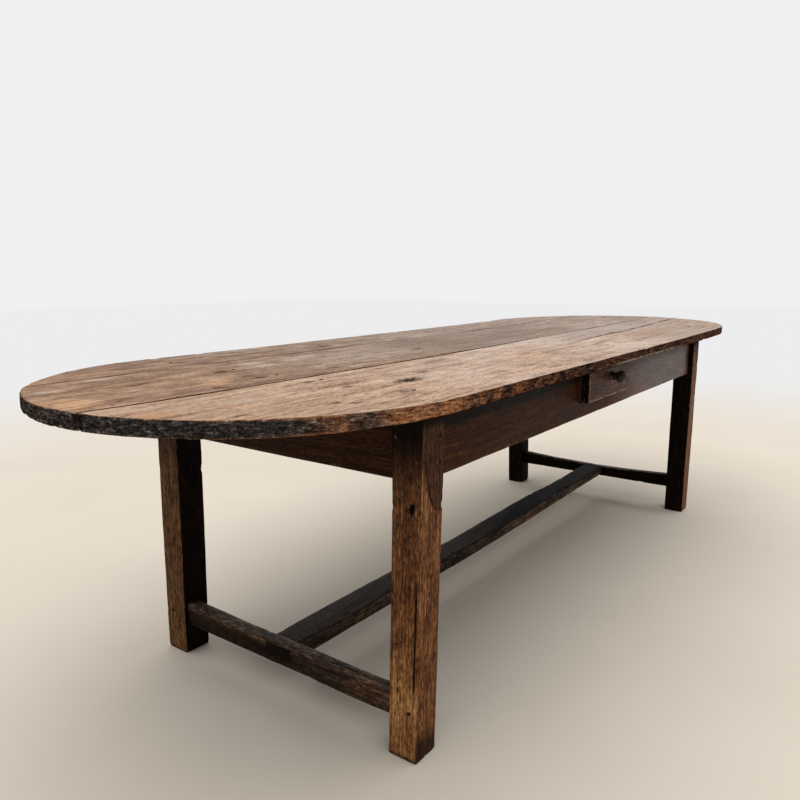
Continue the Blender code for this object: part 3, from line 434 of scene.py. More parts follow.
def oldWood(name, look):
    material, shader = startMaterial(name)
    if look.get("ownCoordinates"):
        place = put("TexCoord").outputs["Object"]
        wear = dirt = gold = 0.0
        if "sootFrom" in look:  # painted shade towards the front of the drawer box, on the sides that show in the drawer's gap
            depth = put("SeparateXYZ", {0: place}).outputs["Y"]
            dirt = ease(depth, look["sootFrom"], look["sootFrom"] - 0.03)
    else:
        place = layerOf("grain", "Vector")
        wear, dirt, gold = layerOf("wear"), layerOf("dirt"), layerOf("gold")
    pithDepth, pithSide = look["pith"]
    wood = useGroup(woodGrain, {
        "Grain": place, "Ring Width": look["ringWidth"], "Pith Depth": pithDepth, "Pith Side": pithSide,
        "Streak Width": look["streakWidth"]})
    marks = useGroup(oldPatina, {"Grain": place})
    worn = useGroup(rubbedArris, {"Grain": place, "Wear": wear})["Mask"]

    shares = sum(look[key] for key in ("streak", "fibre", "blotch", "cloud", "grit"))
    value = times(wood["Streak"], look["streak"], 0.5 + look["lift"] - 0.5 * shares)
    shades = ((wood, "Fibre", 1), (marks, "Blotch", 1), (marks, "Cloud", 1), (marks, "Grit", 1),
              (wood, "Ring", -1), (wood, "Dash", -1), (wood, "Pore", -1))
    for source, label, sign in shades:
        value = times(source[label], sign * look[label.lower()], value)
    colour = ramp(value, look["colours"])
    if "greyColours" in look:  # bleached, greyer stretches, and a painted grey sheen from the layer read below
        greyingAndSheen = times(ease(marks["Cloud"], 0.4, 0.62), look["grey"])
        greyingAndSheen = times(greyingAndSheen, ease(layerOf("polish"), 0.47, 0.64))
        greyingAndSheen = calc("MAXIMUM", greyingAndSheen, layerOf("ash"))
        colour = blend(greyingAndSheen, colour, ramp(value, look["greyColours"]))

    # golden where the old finish has gone
    goldMask = ease(times(marks["Blotch"], 0.9, times(wood["Streak"], 0.9, gold)), 1.0, 1.65)
    colour = blend(goldMask, colour, ramp(value, look["goldColours"]))
    colour = blend(times(marks["Fleck"], look["fleck"]), colour, ramp(value, look["wornColours"]))

    dark = times(marks["Speck"], look["speck"])
    for *ends, strength in look["shakes"]:
        line = useGroup(shakeLine, {"Grain": place, **dict(zip(list(shakeInputs)[1:], ends))})
        dark = calc("MAXIMUM", dark, times(line["Mask"], strength))
    for x, y, radius, strength in look["knots"]:
        spot = useGroup(knotMark, {"Grain": place, "Centre": (x, y, 0), "Radius": radius})
        dark = calc("MAXIMUM", dark, times(spot["Mask"], strength))
    colour = blend(dark, colour, tint(look["holeColour"]))
    for x, y, radius, strength, code in look["stains"]:
        spot = useGroup(knotMark, {"Grain": place, "Centre": (x, y, 0), "Radius": radius})
        colour = blend(times(spot["Mask"], strength), colour, tint(code))

    colour = blend(times(marks["Scratch"], look["scratch"]), colour, tint(look["scratchColour"]))
    # the layer read above darkens towards near-black: real grime in places, painted shade on inner faces,
    # undersides and under the top in others
    grimeAndShade = ease(times(marks["Blotch"], 0.6, dirt), 0.4, 1.15)
    colour = blend(grimeAndShade, colour, ramp(value, look["sootColours"]))
    rubbed = times(worn, look["wornAmount"])
    colour = blend(rubbed, colour, ramp(value, look["wornColours"]))

    waxed = between(marks["Blotch"], look["wax"] * 0.5, look["wax"] * 1.5)
    if not look.get("ownCoordinates"):
        waxed = times(waxed, layerOf("polish"))
    if "rimColours" in look:  # sawn and handled edge of the top
        rim = ease(layerOf("rim"), 0.2, 0.7)
        lumps = noise(place, (55.0, 55.0, 210.0), 6, 0.78)
        pits = noise(place, (280.0, 280.0, 420.0), 3, 0.7)
        rimValue = times(lumps, 2.5, times(pits, 1.1, -1.28))
        rimValue = times(ease(layerOf("polish"), 0.5, 0.6), -0.16, rimValue)
        bare = ease(noise(place, (15.0, 15.0, 8.0), 4, 0.65), 0.35, 0.57)
        bare = times(bare, between(ease(layerOf("polish"), 0.56, 0.7), 1.0, 0.3))
        rimColour = blend(bare, ramp(rimValue, look["rimColours"]), ramp(rimValue, look["sawnColours"]))
        rimColour = blend(grimeAndShade, rimColour, ramp(rimValue, look["endColours"]))
        rimColour = blend(times(worn, 0.7), rimColour, tint(look["chipColour"]))
        colour = blend(rim, colour, rimColour)
        waxed = times(waxed, calc("SUBTRACT", 1.0, rim))
    feed(shader["Base Color"], colour)

    rough = times(wood["Pore"], 0.12, between(marks["Blotch"], *look["rough"]))
    feed(shader["Roughness"], times(rubbed, look["wornRough"], rough))
    if look["wax"]:
        clean = calc("SUBTRACT", 1.0, calc("MAXIMUM", grimeAndShade, dark))
        feed(shader["Coat Weight"], times(waxed, clean))
        shader["Coat Roughness"].default_value = look["waxRough"]
    height = times(wood["Ring"], 0.25)
    reliefs = ((wood["Fibre"], 0.5), (wood["Streak"], 0.7), (wood["Dash"], -0.25), (wood["Pore"], -0.5),
               (marks["Grit"], 0.5), (dark, -1.2))
    for source, amount in reliefs:
        height = times(source, amount, height)
    bump = put("Bump", {"Strength": look["bump"], "Distance": 0.0016, "Height": height})
    feed(shader["Normal"], bump.outputs[0])
    shader["Specular IOR Level"].default_value = look["shine"]
    return material


# Looks: shares of each mark, five colours from dark to pale, then single marks by place on the piece
# shakes: x and y of one end and of the other, width, strength
# knots: x, y, radius, strength; stains: the same and a colour

topLook = {
    "ringWidth": 0.011, "pith": (0.09, -0.25), "streakWidth": 0.019, "streak": 1.0, "fibre": 0.8,
    "blotch": 1.0, "cloud": 0.55, "grit": 1.3, "ring": 0.1, "dash": 0.28, "pore": 0.16, "lift": 0.12,
    "speck": 0.8, "fleck": 0.4, "scratch": 0.3, "grey": 0.6, "wornAmount": 0.35, "wornRough": 0.1,
    "rough": (0.45, 0.62), "bump": 0.5, "shine": 0.0, "wax": 0.52, "waxRough": 0.25,
    "colours": ("#331e13", "#775640", "#b18d71", "#ceac90", "#e3cab2"),
    "greyColours": ("#3a2a22", "#7b6252", "#b39988", "#cdb7a7", "#e2d1c4"),
    "goldColours": ("#5a3a24", "#96653f", "#c08e63", "#d3a67c", "#e2c09b"),
    "sootColours": ("#070403", "#100a07", "#1c120b", "#2a1b11", "#3d2919"),
    "wornColours": ("#7d5f46", "#ab8a68", "#c6a886", "#d8c0a3", "#e6d5bc"),
    "rimColours": ("#0a0706", "#241915", "#46362e", "#6f5b50", "#ad9c8f"),
    "sawnColours": ("#1c0e07", "#58301c", "#8e5a3c", "#b5835c", "#dcb590"),
    "endColours": ("#060606", "#171514", "#2f2a28", "#524a45", "#9f958b"),
    "holeColour": "#2e1b10", "scratchColour": "#e2d2bc", "chipColour": "#b39f8a",
    "shakes": (
        (0.12, -0.223, 1.4, -0.186, 0.007, 1.0), (-1.03, -0.206, -0.84, -0.209, 0.003, 0.75),
        (-1.24, -0.255, -0.93, -0.257, 0.002, 0.6), (-0.61, -0.265, -0.1, -0.27, 0.002, 0.5),
        (-0.26, -0.31, 0.44, -0.318, 0.002, 0.5), (-0.6, -0.331, -0.47, -0.332, 0.003, 0.5),
        (0.1, -0.16, 0.62, -0.155, 0.002, 0.45)),
    "knots": (
        (-0.827, -0.279, 0.034, 0.95), (-0.968, -0.236, 0.013, 0.85), (-0.92, -0.29, 0.013, 0.6),
        (-1.11, -0.335, 0.013, 0.7), (-1.09, -0.362, 0.012, 0.7), (-1.276, -0.288, 0.014, 0.5),
        (0.56, -0.2, 0.02, 0.6), (0.966, -0.353, 0.012, 0.6), (-0.71, -0.231, 0.017, 0.75),
        (-0.965, -0.131, 0.014, 0.8), (-0.95, -0.36, 0.013, 0.7), (0.1, -0.35, 0.013, 0.5)),
    "stains": (
        (-0.70, -0.215, 0.04, 0.3, "#5d5148"), (-0.53, -0.155, 0.04, 0.45, "#5a3d2a"),
        (-1.19, -0.187, 0.03, 0.4, "#dccab8"), (-1.03, -0.183, 0.04, 0.35, "#6a4c45"),
        (-0.883, -0.183, 0.03, 0.35, "#6a4c45"), (-1.05, -0.43, 0.03, 0.3, "#7c4526")),
}
middleLook = {
    **topLook, "pith": (0.11, 0.12), "lift": 0.06,
    "colours": ("#28180e", "#61432d", "#916c4f", "#af8a6b", "#cbad90"),
    "greyColours": ("#2a2019", "#5f4c3f", "#8b7565", "#a89382", "#c5b4a6"),
    "shakes": (
        (-1.40, 0.126, -0.86, 0.118, 0.0025, 0.65), (0.10, 0.108, 0.50, 0.112, 0.0022, 0.5),
        (-0.77, 0.002, -0.64, -0.001, 0.003, 0.65), (-1.2, 0.022, -1.04, 0.023, 0.003, 0.7),
        (-0.92, 0.072, -0.74, 0.07, 0.0025, 0.5), (-0.49, -0.009, -0.37, -0.01, 0.003, 0.6),
        (-0.92, 0.266, -0.80, 0.266, 0.005, 0.8), (-0.67, 0.264, -0.36, 0.265, 0.005, 0.8),
        (-0.2, 0.19, 0.3, 0.195, 0.002, 0.45)),
    "knots": (
        (-0.965, 0.133, 0.016, 0.85), (-0.98, -0.007, 0.015, 0.8), (-0.31, 0.06, 0.02, 0.6),
        (0.74, 0.18, 0.018, 0.6), (-1.118, -0.044, 0.013, 0.7), (-0.768, -0.025, 0.013, 0.6),
        (-0.864, 0.229, 0.016, 0.5), (-1.008, 0.238, 0.02, 0.4)),
    "stains": (
        (-1.33, 0.172, 0.024, 0.5, "#cdbba5"), (-1.19, 0.247, 0.03, 0.5, "#cdbba5"),
        (-0.826, 0.19, 0.034, 0.6, "#cdbba5"), (-0.826, 0.143, 0.022, 0.5, "#cdbba5"),
        (-0.634, 0.195, 0.026, 0.6, "#cdbba5"), (-0.912, -0.03, 0.024, 0.4, "#5d4440")),
}
backLook = {
    **middleLook, "pith": (0.08, 0.46), "lift": 0.02, "stains": (),
    "shakes": ((-0.86, 0.36, -0.06, 0.368, 0.0025, 0.5), (0.2, 0.4, 0.9, 0.398, 0.002, 0.4)),
    "knots": ((-0.915, 0.353, 0.016, 0.8), (0.24, 0.4, 0.018, 0.6),
              (-0.414, 0.334, 0.022, 0.6), (-0.682, 0.42, 0.02, 0.5)),
}
legLook = {
    **topLook, "ringWidth": 0.005, "pith": (0.06, 0.04), "streakWidth": 0.0045, "streak": 0.95, "fibre": 0.9,
    "blotch": 1.1, "cloud": 0.5, "grit": 1.9, "dash": 0.2, "lift": 0.13, "fleck": 0.6, "scratch": 0.15,
    "wornAmount": 0.6, "rough": (0.5, 0.7), "bump": 0.6, "shine": 0.04, "wax": 0.12,
    "colours": ("#180c07", "#3e2112", "#653b20", "#86542f", "#a97648"),
    "goldColours": ("#2a1608", "#5f3a1d", "#8d5e36", "#ac7d4b", "#cca26c"),
    "sootColours": ("#020101", "#050302", "#0c0604", "#180d07", "#2a180d"),
    "wornColours": ("#50331b", "#8a5f39", "#b58a53", "#d2ae7a", "#e6cda0"),
    "holeColour": "#080504", "scratchColour": "#a57b50", "shakes": (), "knots": (), "stains": (),
}
for topOnly in ("rimColours", "sawnColours", "endColours", "chipColour", "greyColours", "grey"):
    legLook.pop(topOnly)
apronLook = {
    **legLook, "pith": (0.05, -0.05), "streakWidth": 0.012, "grit": 1.5, "fleck": 0.35, "scratch": 0.25,
    "rough": (0.4, 0.55), "wax": 0.5,
    "colours": ("#110704", "#2b1208", "#46220d", "#5c3115", "#774723"),
    "goldColours": ("#1f1009", "#3d2111", "#5a3419", "#754a27", "#956a3e"),
    "wornColours": ("#2b1d17", "#4a372e", "#6b564b", "#8a766b", "#a8968b"),
}
stretcherLook = {
    **legLook, "scratch": 0.25, "streakWidth": 0.009, "fleck": 0.75, "wornAmount": 0.5,
    "colours": ("#0a0706", "#1b130e", "#302219", "#4b392c", "#705c4a"),
    "goldColours": ("#1c1008", "#402611", "#643e22", "#835a35", "#a67c52"),
    "wornColours": ("#2c1f18", "#4a3930", "#6d594d", "#947f70", "#bba796"),
}
drawerLook = {
    **apronLook, "lift": 0.14, "wornAmount": 0.85, "scratch": 0.5, "scratchColour": "#94796a", "fleck": 0.5,
    "colours": ("#100806", "#281710", "#40271d", "#59392d", "#806355"),
    "wornColours": ("#3a2b23", "#644f43", "#8c7564", "#ad9681", "#cab49e"),
}
bareLook = {
    **legLook, "ownCoordinates": True, "streakWidth": 0.012, "lift": 0.05, "scratch": 0.05, "fleck": 0.1,
    "wornAmount": 0.0, "rough": (0.6, 0.75), "shine": 0.1, "sootFrom": -0.37,
    "colours": ("#21150c", "#43301f", "#634730", "#7d5e42", "#9b7a59"),
}
pegLook = {
    **legLook, "ownCoordinates": True, "streakWidth": 0.004, "lift": 0.0, "wornAmount": 0.0, "scratch": 0.1,
    "ring": 0.25, "ringWidth": 0.002,
    "colours": ("#080504", "#170e09", "#2b1c11", "#442e1d", "#654a31"),
}
knobLook = {
    **legLook, "ownCoordinates": True, "streakWidth": 0.006, "wornAmount": 0.8, "rough": (0.35, 0.5),
    "shine": 0.25, "wax": 0.22, "fleck": 0.1,
    "colours": ("#040303", "#0d0806", "#1a100b", "#2c1d14", "#4a3425"),
    "wornColours": ("#2a2018", "#4d3d2e", "#776249", "#9c8767", "#c0ad8c"),
}
woods = {name: oldWood(name, look) for name, look in (
    ("topFrontWood", topLook), ("topMiddleWood", middleLook), ("topBackWood", backLook), ("legWood", legLook),
    ("apronWood", apronLook), ("stretcherWood", stretcherLook), ("drawerWood", drawerLook),
    ("bareDrawerWood", bareLook), ("pegWood", pegLook), ("knobWood", knobLook))}
print("materials:", len(bpy.data.materials))


# The top: three long boards with half-round ends, cupped, chipped round the rim, open at the seams

top = {
    "along": 460, "frontLines": 46, "middleLines": 44, "backLines": 34, "rimRows": 7,
    "rimArris": 0.0032, "seamArris": 0.0028, "seamGap": 0.0018, "seamOpening": 0.0014, "seamCorner": 0.009,
    "seamCurve": ((-1.42, -1.3, -1.1, -0.9, -0.5, -0.16, 0.1, 0.3, 0.5, 0.8, 1.1, 1.42),
                  (0.023, 0.013, 0.004, 0.0, -0.002, 0.002, 0.010, 0.020, 0.024, 0.024, 0.018, 0.018)),
    "cup": 0.0007, "bow": 0.0125, "bowFrom": 0.34, "bowTo": 1.42, "wave": 0.0005, "thicker": 0.004,
    "rimRough": 0.0009, "rimChip": 0.004, "groove": 0.003, "grooveWidth": 0.0022,
    "strip": ((-0.1, 0.12, 1.4), (-0.23, -0.223, -0.186)),
    "pegXs": (-0.926, 0.960), "pegYs": (-0.363, -0.130, 0.0, 0.142, 0.373), "pegDimple": 0.0005,
    "amber": (   # warm patches: x, y, reach in x and y, strength
        (-1.375, 0.02, 0.045, 0.065, 0.9), (-1.07, 0.017, 0.05, 0.03, 0.7), (-1.358, -0.18, 0.03, 0.05, 0.8),
        (-0.86, -0.33, 0.12, 0.06, 0.35), (-1.2, -0.26, 0.22, 0.16, 0.25), (-0.56, -0.42, 0.3, 0.03, 0.4),
        (-0.3, -0.29, 0.16, 0.07, 0.5), (0.65, -0.3, 0.3, 0.07, 0.5), (-0.3, -0.13, 0.3, 0.04, 0.35),
        (0.5, -0.02, 0.3, 0.06, 0.3)),
    "tongue": (0.007, 0.012, 0.0012, 0.004, 0.04, 0.001),   # width, height, arris, spacing, step, end arris
    "tongueShort": 0.012, "tongueDown": 0.014,
}
boards = {name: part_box("top_board_" + name) for name in ("front", "middle", "back")}
topZ, topThickness = boards["front"][1].z, boards["front"][1].z - boards["front"][0].z
topRadius = boards["back"][1].y
arcCentre = boards["middle"][1].x - topRadius
seamYs = {"front": (boards["front"][1].y + boards["middle"][0].y) / 2,
          "back": (boards["middle"][1].y + boards["back"][0].y) / 2}


def seamAt(which, x):
    return seamYs[which] + (np.interp(x, *top["seamCurve"]) if which == "front" else 0)


def lift(x):  # the far end of the top has sprung up
    return top["bow"] * np.clip((x - top["bowFrom"]) / (top["bowTo"] - top["bowFrom"]), 0, 1) ** 2


def liftHead(x, z):  # legs and aprons follow it with their heads
    return lift(x) * smooth(0.66, 0.72, z)


def seamHalfGap(x):
    opened = smooth(-0.95, -1.45, x) + smooth(0.0, 0.7, x)
    return top["seamGap"] / 2 + top["seamOpening"] * opened / 2


def boardGrid(name):
    us = np.linspace(-1, 1, top["along"])[:, None]
    lines = top[name + "Lines"]
    if name == "middle":
        shares = np.linspace(0, 1, lines)
    else:
        angles = np.linspace(0, math.acos(abs(seamYs[name]) / topRadius), lines)
        shares = (1 - np.cos(angles)) / (1 - math.cos(angles[-1]))
        shares = shares if name == "front" else 1 - shares[::-1]
    xs = np.broadcast_to(us * (arcCentre + topRadius), (top["along"], lines))
    lowSeam, highSeam = {"front": (None, "front"), "middle": ("front", "back"), "back": ("back", None)}[name]
    for _ in range(3):
        low = seamAt(lowSeam, xs) + seamHalfGap(xs) if lowSeam else -topRadius + 0 * xs
        high = seamAt(highSeam, xs) - seamHalfGap(xs) if highSeam else topRadius + 0 * xs
        ys = low + (high - low) * shares[None, :]
        xs = us * (arcCentre + np.sqrt(np.maximum(0, topRadius ** 2 - ys ** 2)))
    return xs, ys


def makeBoard(name, look, seed):
    xs, ys = boardGrid(name)
    depthOf = np.zeros(xs.shape)
    for x0, y0, x1, y1, *_ in look["shakes"][:2]:  # the first two shakes are real grooves
        row = ys[len(ys) // 2 + int((x0 + x1) / 2 / 3 * len(ys))]
        j = min(max(int(np.abs(row - (y0 + y1) / 2).argmin()), 2), ys.shape[1] - 3)
        x = xs[:, j]
        share = (x - x0) / (x1 - x0)
        inside = span(0, 0.08, 0.92, 1, share)
        line = y0 + (y1 - y0) * np.clip(share, 0, 1) + 0.002 * swellAlong(x, 0.1, seed)
        for k in (-1, 0, 1):
            ys[:, j + k] += inside * (line + k * top["grooveWidth"] - ys[:, j + k])
        depthOf[:, j] = inside * top["groove"] * (0.6 + 0.4 * swellAlong(x, 0.06, seed + 5))

    def arrisAt(rim):
        onSeam = np.hypot(np.maximum(np.abs(rim[:, 0]) - arcCentre, 0), rim[:, 1]) < topRadius - 0.0008
        bulge = 0.5 + 0.5 * swell(np.column_stack([rim, rim[:, 0] * 0]), (0.05, 0.05, 1), seed + 11)
        return np.where(onSeam, top["seamArris"], top["rimArris"] * (0.7 + 0.7 * bulge))

    shape = slab(xs, ys, topThickness, arrisAt, top["rimRows"])
    points, out, edge, side = shape["points"], shape["out"], shape["edge"], shape["side"]
    x, y = points[:, 0].copy(), points[:, 1].copy()
    down = points[:, 2] / topThickness   # 0 at the upper face, -1 at the lower
    face = side > 0
    radial = np.hypot(np.maximum(np.abs(x) - arcCentre, 0), y)
    atRim = smooth(topRadius - 0.012, topRadius - 0.004, radial)
    wall = (side == 0) * (radial > topRadius - 0.007)
    low, high = ys.min(), ys.max()
    rise = top["wave"] * swell(points, (0.42, 0.09, 1), seed)
    rise += top["wave"] * 0.5 * swell(points, (0.11, 0.03, 1), seed + 1)
    rise -= top["cup"] * (1 - (2 * (y - low) / (high - low) - 1) ** 2)
    rise[:xs.size] -= depthOf.ravel()
    for px in top["pegXs"]:
        for py in top["pegYs"]:
            rise -= face * top["pegDimple"] * smooth(0.012, 0.006, np.hypot(x - px, y - py))
    sawn = swell(points, (0.03, 0.03, 0.02), seed + 2) + 0.6 * swell(points, (0.013, 0.013, 0.01), seed + 3)
    move = top["rimRough"] * sawn * wall
    bite = chips(points, (0.045, 0.045, 0.012), seed + 4, 0.24) * edge * atRim
    splinters = chips(points, (0.011, 0.011, 0.02), seed + 8, 0.2) * edge * atRim
    bite = np.maximum(bite, splinters * (points[:, 2] < -topThickness / 2))
    move -= top["rimChip"] * bite
    toSeam = np.minimum(np.abs(y - seamAt("front", x)), np.abs(y - seamAt("back", x)))
    corner = wall * smooth(top["seamCorner"], 0.001, toSeam)
    move -= 0.5 * top["seamCorner"] * corner
    shape["points"] = points + out * move[:, None]
    shape["points"][:, 2] += topZ + rise * (side >= 0) * np.where(face, 1, 1 + down)
    shape["points"][:, 2] += lift(x) + top["thicker"] * smooth(-1.0, -1.3, x) * points[:, 2] / topThickness
    shape["grain"] = np.column_stack([x, y, points[:, 2]])
    shape["rim"] = wall * 1.0
    endGrain = smooth(0.25, 0.8, np.abs(out[:, 0]))
    # the rim's end grain is dark in its own colour; the underside is painted in shade
    shape["dirt"] = np.where(wall > 0, endGrain, 0.0) + 0.75 * (side < 0)
    # the seam walls are painted dark, as shade between the boards
    deepen(shape, "dirt", ((side == 0) & (wall == 0)) * 1.0)
    lowerArris = smooth(-0.4, -0.7, down)
    shape["wear"] = edge * atRim * (0.2 + 0.25 * lowerArris) + bite * (0.35 + 0.35 * lowerArris)
    if name == "front":
        deepen(shape, "dirt", 0.26 * face * smooth(-0.9, -1.2, x))  # handled most at this end
        pale = span(-0.3, -0.15, 0.35, 0.6, x)
        deepen(shape, "wear", 0.75 * pale * wall * smooth(-0.55, -0.8, down))
        strip = face * smooth(0.0, 0.012, y - np.interp(x, *top["strip"])) * smooth(-0.1, 0.35, x)
        # a greyer strip split off along the front board; the rest of the board greys a little towards the far
        # end
        shape["ash"] = 0.9 * strip + 0.2 * smooth(0.2, 0.8, x) * face * (1 - strip)
        deepen(shape, "dirt", face * (0.34 * strip + 0.33 * smooth(0.1, 0.6, x) * (1 - strip)))
    if name == "middle":
        deepen(shape, "dirt", 0.33 * face * span(-0.6, -0.2, 0.5, 1.0, x))
    for ax, ay, rx, ry, strength in top["amber"]:
        deepen(shape, "gold", face * strength * bell(x - ax, rx) * bell(y - ay, ry))
    # painted grey sheen on the upper faces towards the far end
    deepen(shape, "ash", 0.35 * face * smooth(0.7, 1.3, x))
    shape["polish"] = np.maximum(0.45 + 0.55 * smooth(-1.3, 0.3, x), corner)
    wood = woods["top" + name.capitalize() + "Wood"]
    return makePiece("topBoard" + name.capitalize(), shape, wood, ["top_board_" + name])


for name, look, seed in (("front", topLook, 11), ("middle", middleLook, 23), ("back", backLook, 37)):
    makeBoard(name, look, seed)

# a loose tongue in each seam closes it from below
for which in ("front", "back"):
    reach = arcCentre + math.sqrt(topRadius ** 2 - seamYs[which] ** 2) - top["tongueShort"]
    tongue = beam(2 * reach, *top["tongue"])
    tongue = turn(tongue, (0, -1, 0), (-reach, seamYs[which], topZ - top["tongueDown"]))
    tongue["points"][:, 1] += seamAt(which, tongue["points"][:, 0]) - seamYs[which]
    tongue["points"][:, 2] += lift(tongue["points"][:, 0])
    tongue["dirt"] = np.ones(len(tongue["points"]))
    makePiece("tongue" + which.capitalize(), tongue, woods["topMiddleWood"], [])
print("top: three boards")


# Legs: square, leaning a little, tapered to the foot, arrises rubbed round

leg = {
    "arris": 0.003, "spacing": 0.0024, "step": 0.003, "footArris": 0.0045, "footLevel": 0.004,
    "taperTo": 0.5737,   # the foot of the aprons
    "wear": {"wave": 0.0009, "waveSize": (0.16, 0.05, 0.05), "ripple": 0.0003,
             "rippleSize": (0.03, 0.006, 0.006), "rub": 0.0004, "chip": 0.004,
             "chipSize": (0.026, 0.012, 0.012), "chipShare": 0.2},
    "grime": {   # how dark the end face is, how dark the long face is, how golden
        "front_left": (0.08, 0.12, 1), "front_right": (0.35, 0.22, 0.3),
        "back_left": (0.5, 0.6, 0.6), "back_right": (0.6, 0.6, 0.3)},
    "fuller": {"leg_back_left": (0.003, 0.006)},   # this leg is stouter, inwards in x and outwards in y
    "hole": (-0.3722, 0.5245, 0.0085, 0.008),   # y, z, radius, depth
    "knot": (-0.9152, 0.398, 0.009, 0.004),   # x, z, radius of its ring, width of its ring
    "split": ((0.14, 0.16, 0.267, 0.35, 0.42), (-0.3825, -0.3829, -0.385, -0.387, -0.3878)),
    "splitWidth": 0.0034,
    "scarf": ((0.50, 0.5095, 0.5145, 0.52, 0.528, 0.5503, 0.569, 0.6, 0.63),
              (-0.876, -0.8835, -0.895, -0.9087, -0.9137, -0.9245, -0.9296, -0.937, -0.945)),
    "scarfWidth": 0.0026, "scarfFoot": 0.505,
}


def levelBox(node, z):
    spots = np.array([v.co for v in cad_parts[node].data.vertices])
    level = spots[np.abs(spots[:, 2] - z) < 0.0004]
    return level.min(axis=0), level.max(axis=0)


def makeLeg(depth, hand, seed):
    node = "leg_" + depth + "_" + hand
    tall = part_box(node)[1].z
    footLow, footHigh = levelBox(node, leg["footLevel"])
    headLow, headHigh = levelBox(node, tall)
    size = headHigh - headLow
    shape = beam(tall, size[0], size[1], leg["arris"], leg["spacing"], leg["step"], leg["footArris"])
    z, *flat = age(shape, leg["wear"], seed)["points"].T
    bend = np.clip(z / leg["taperTo"], 0, 1)  # tapers up to the aprons, then stays square
    places = []
    for k, more in enumerate(leg["fuller"].get(node, (0, 0))):
        lowMid, highMid = (footLow[k] + footHigh[k]) / 2, (headLow[k] + headHigh[k]) / 2
        scale = (footHigh[k] - footLow[k]) / size[k]
        place = lowMid + (highMid - lowMid) * bend + flat[k] * (scale + (1 - scale) * bend)
        places.append(place + more * (flat[k] / size[k] + 0.5))
    x, y = places
    shape["points"] = np.column_stack([x, y, z])
    shape["out"] = shape["out"][:, (1, 2, 0)]
    outX = (-1 if hand == "left" else 1) * shape["out"][:, 0]
    outY = (-1 if depth == "front" else 1) * shape["out"][:, 1]
    inner = np.maximum(facing(-outX), facing(-outY))
    onEnd, onLong = facing(outX), facing(outY)
    headInShadow = smooth(0.47, 0.7, z)
    shade, longShade, golden = leg["grime"][depth + "_" + hand]
    # painted shade: faces turned in under the table nearly black, and the heads of the end faces darkened
    # where the top's overhang shades them; below that, each leg's own darkening
    shape["dirt"] = np.maximum(0.95 * inner, onEnd * (0.85 * headInShadow + shade * (1 - headInShadow)))
    # on the long face each leg's own darkening, with painted shadow from the top up the head and a dark
    # painted band just under the top
    deepen(shape, "dirt", onLong * (longShade + 0.2 * headInShadow + 0.55 * smooth(0.66, 0.705, z)))
    deepen(shape, "dirt", 0.7 * smooth(0.02, 0.0, z))
    endGold, longGold = 0.55 * smooth(0.48, 0.02, z) + 0.1, 0.12 * smooth(0.62, 0.5, z)
    shape["gold"] = golden * (onEnd * endGold + onLong * longGold)
    corner = smooth(0.35, 0.6, outX) * smooth(0.35, 0.6, outY)  # the outer arris is rubbed most
    shape["wear"] = shape["edge"] * (0.15 + 0.95 * corner * (0.3 + 0.7 * span(0.33, 0.42, 0.6, 0.66, z)))
    shape["wear"] = shape["wear"] * (1 - 0.8 * inner) + shape["bite"] * 0.5
    if node == "leg_back_left":
        shape["gold"] += 0.22 * onEnd
    if node == "leg_front_left":
        # a patch scarfed in, its seam, a split, a grimy foot, a knot and a hole
        fromScarf = x - np.interp(z, *leg["scarf"])
        deepen(shape, "dirt", 0.52 * onLong * smooth(0.0, 0.003, fromScarf) * (z > leg["scarfFoot"]))
        seam = bell(fromScarf, leg["scarfWidth"]) * span(leg["scarfFoot"], 0.515, 0.62, 0.63, z)
        deepen(shape, "dirt", 0.95 * onLong * seam)
        split = bell(y - np.interp(z, *leg["split"]), leg["splitWidth"]) * span(0.13, 0.17, 0.34, 0.46, z)
        deepen(shape, "dirt", 0.9 * onEnd * split)
        deepen(shape, "dirt", onLong * 0.62 * smooth(0.08, 0.03, z + 0.4 * (x + 0.925)))
        knotX, knotZ, radius, width = leg["knot"]
        deepen(shape, "dirt", 0.5 * onLong * bell(np.hypot(x - knotX, (z - knotZ) * 0.65) - radius, width))
        holeY, holeZ, radius, deep = leg["hole"]
        ragged = radius * (1 + 0.4 * swell(shape["points"], (0.006, 0.006, 0.006), 5))
        fromHole = np.hypot(y - holeY, (z - holeZ) * 0.55 + 0.3 * (y - holeY))
        hollow = smooth(1, 0.35, fromHole / ragged) * onEnd
        shape["points"][:, 0] += deep * hollow
        # painted shade inside the hole
        deepen(shape, "dirt", hollow)
        besideApron = smooth(0.3, 0.55, -outX) * smooth(0.3, 0.55, outY) * span(0.57, 0.6, 0.66, 0.69, z)
        deepen(shape, "wear", 1.1 * besideApron)
    shape["points"][:, 2] = np.maximum(z, 0) + liftHead(x, z)
    moveGrain(shape, seed, 1.7, 0.31)
    title = "leg" + depth.capitalize() + hand.capitalize()
    return makePiece(title, shape, woods["legWood"], [node])


legPlaces = [(depth, hand) for depth in ("front", "back") for hand in ("left", "right")]
for k, (depth, hand) in enumerate(legPlaces):
    makeLeg(depth, hand, seed=41 + k)
print("legs: 4")


# Aprons: deep boards let into the legs, the front one cut away for the drawer

apron = {
    "arris": 0.0022, "lineStep": 0.0055, "rows": 3, "sunk": 0.004,
    "scuffSize": (0.008, 0.02, 1), "scuffReach": 0.045,
    "gapBeside": 0.0015, "gapBelow": 0.0003, "lineRoom": 0.003,
    "wear": {"wave": 0.0007, "waveSize": (0.25, 0.05, 1), "ripple": 0.0002, "rippleSize": (0.05, 0.008, 1),
             "rub": 0.0012, "chip": 0.004, "chipSize": (0.03, 0.014, 0.014), "chipShare": 0.2},
}


def withLines(grid, *lines):  # grid lines near a cut give way to it
    clear = np.all(np.abs(grid[:, None] - np.array(lines)) > apron["lineRoom"], axis=1)
    return np.sort(np.append(grid[clear], lines))


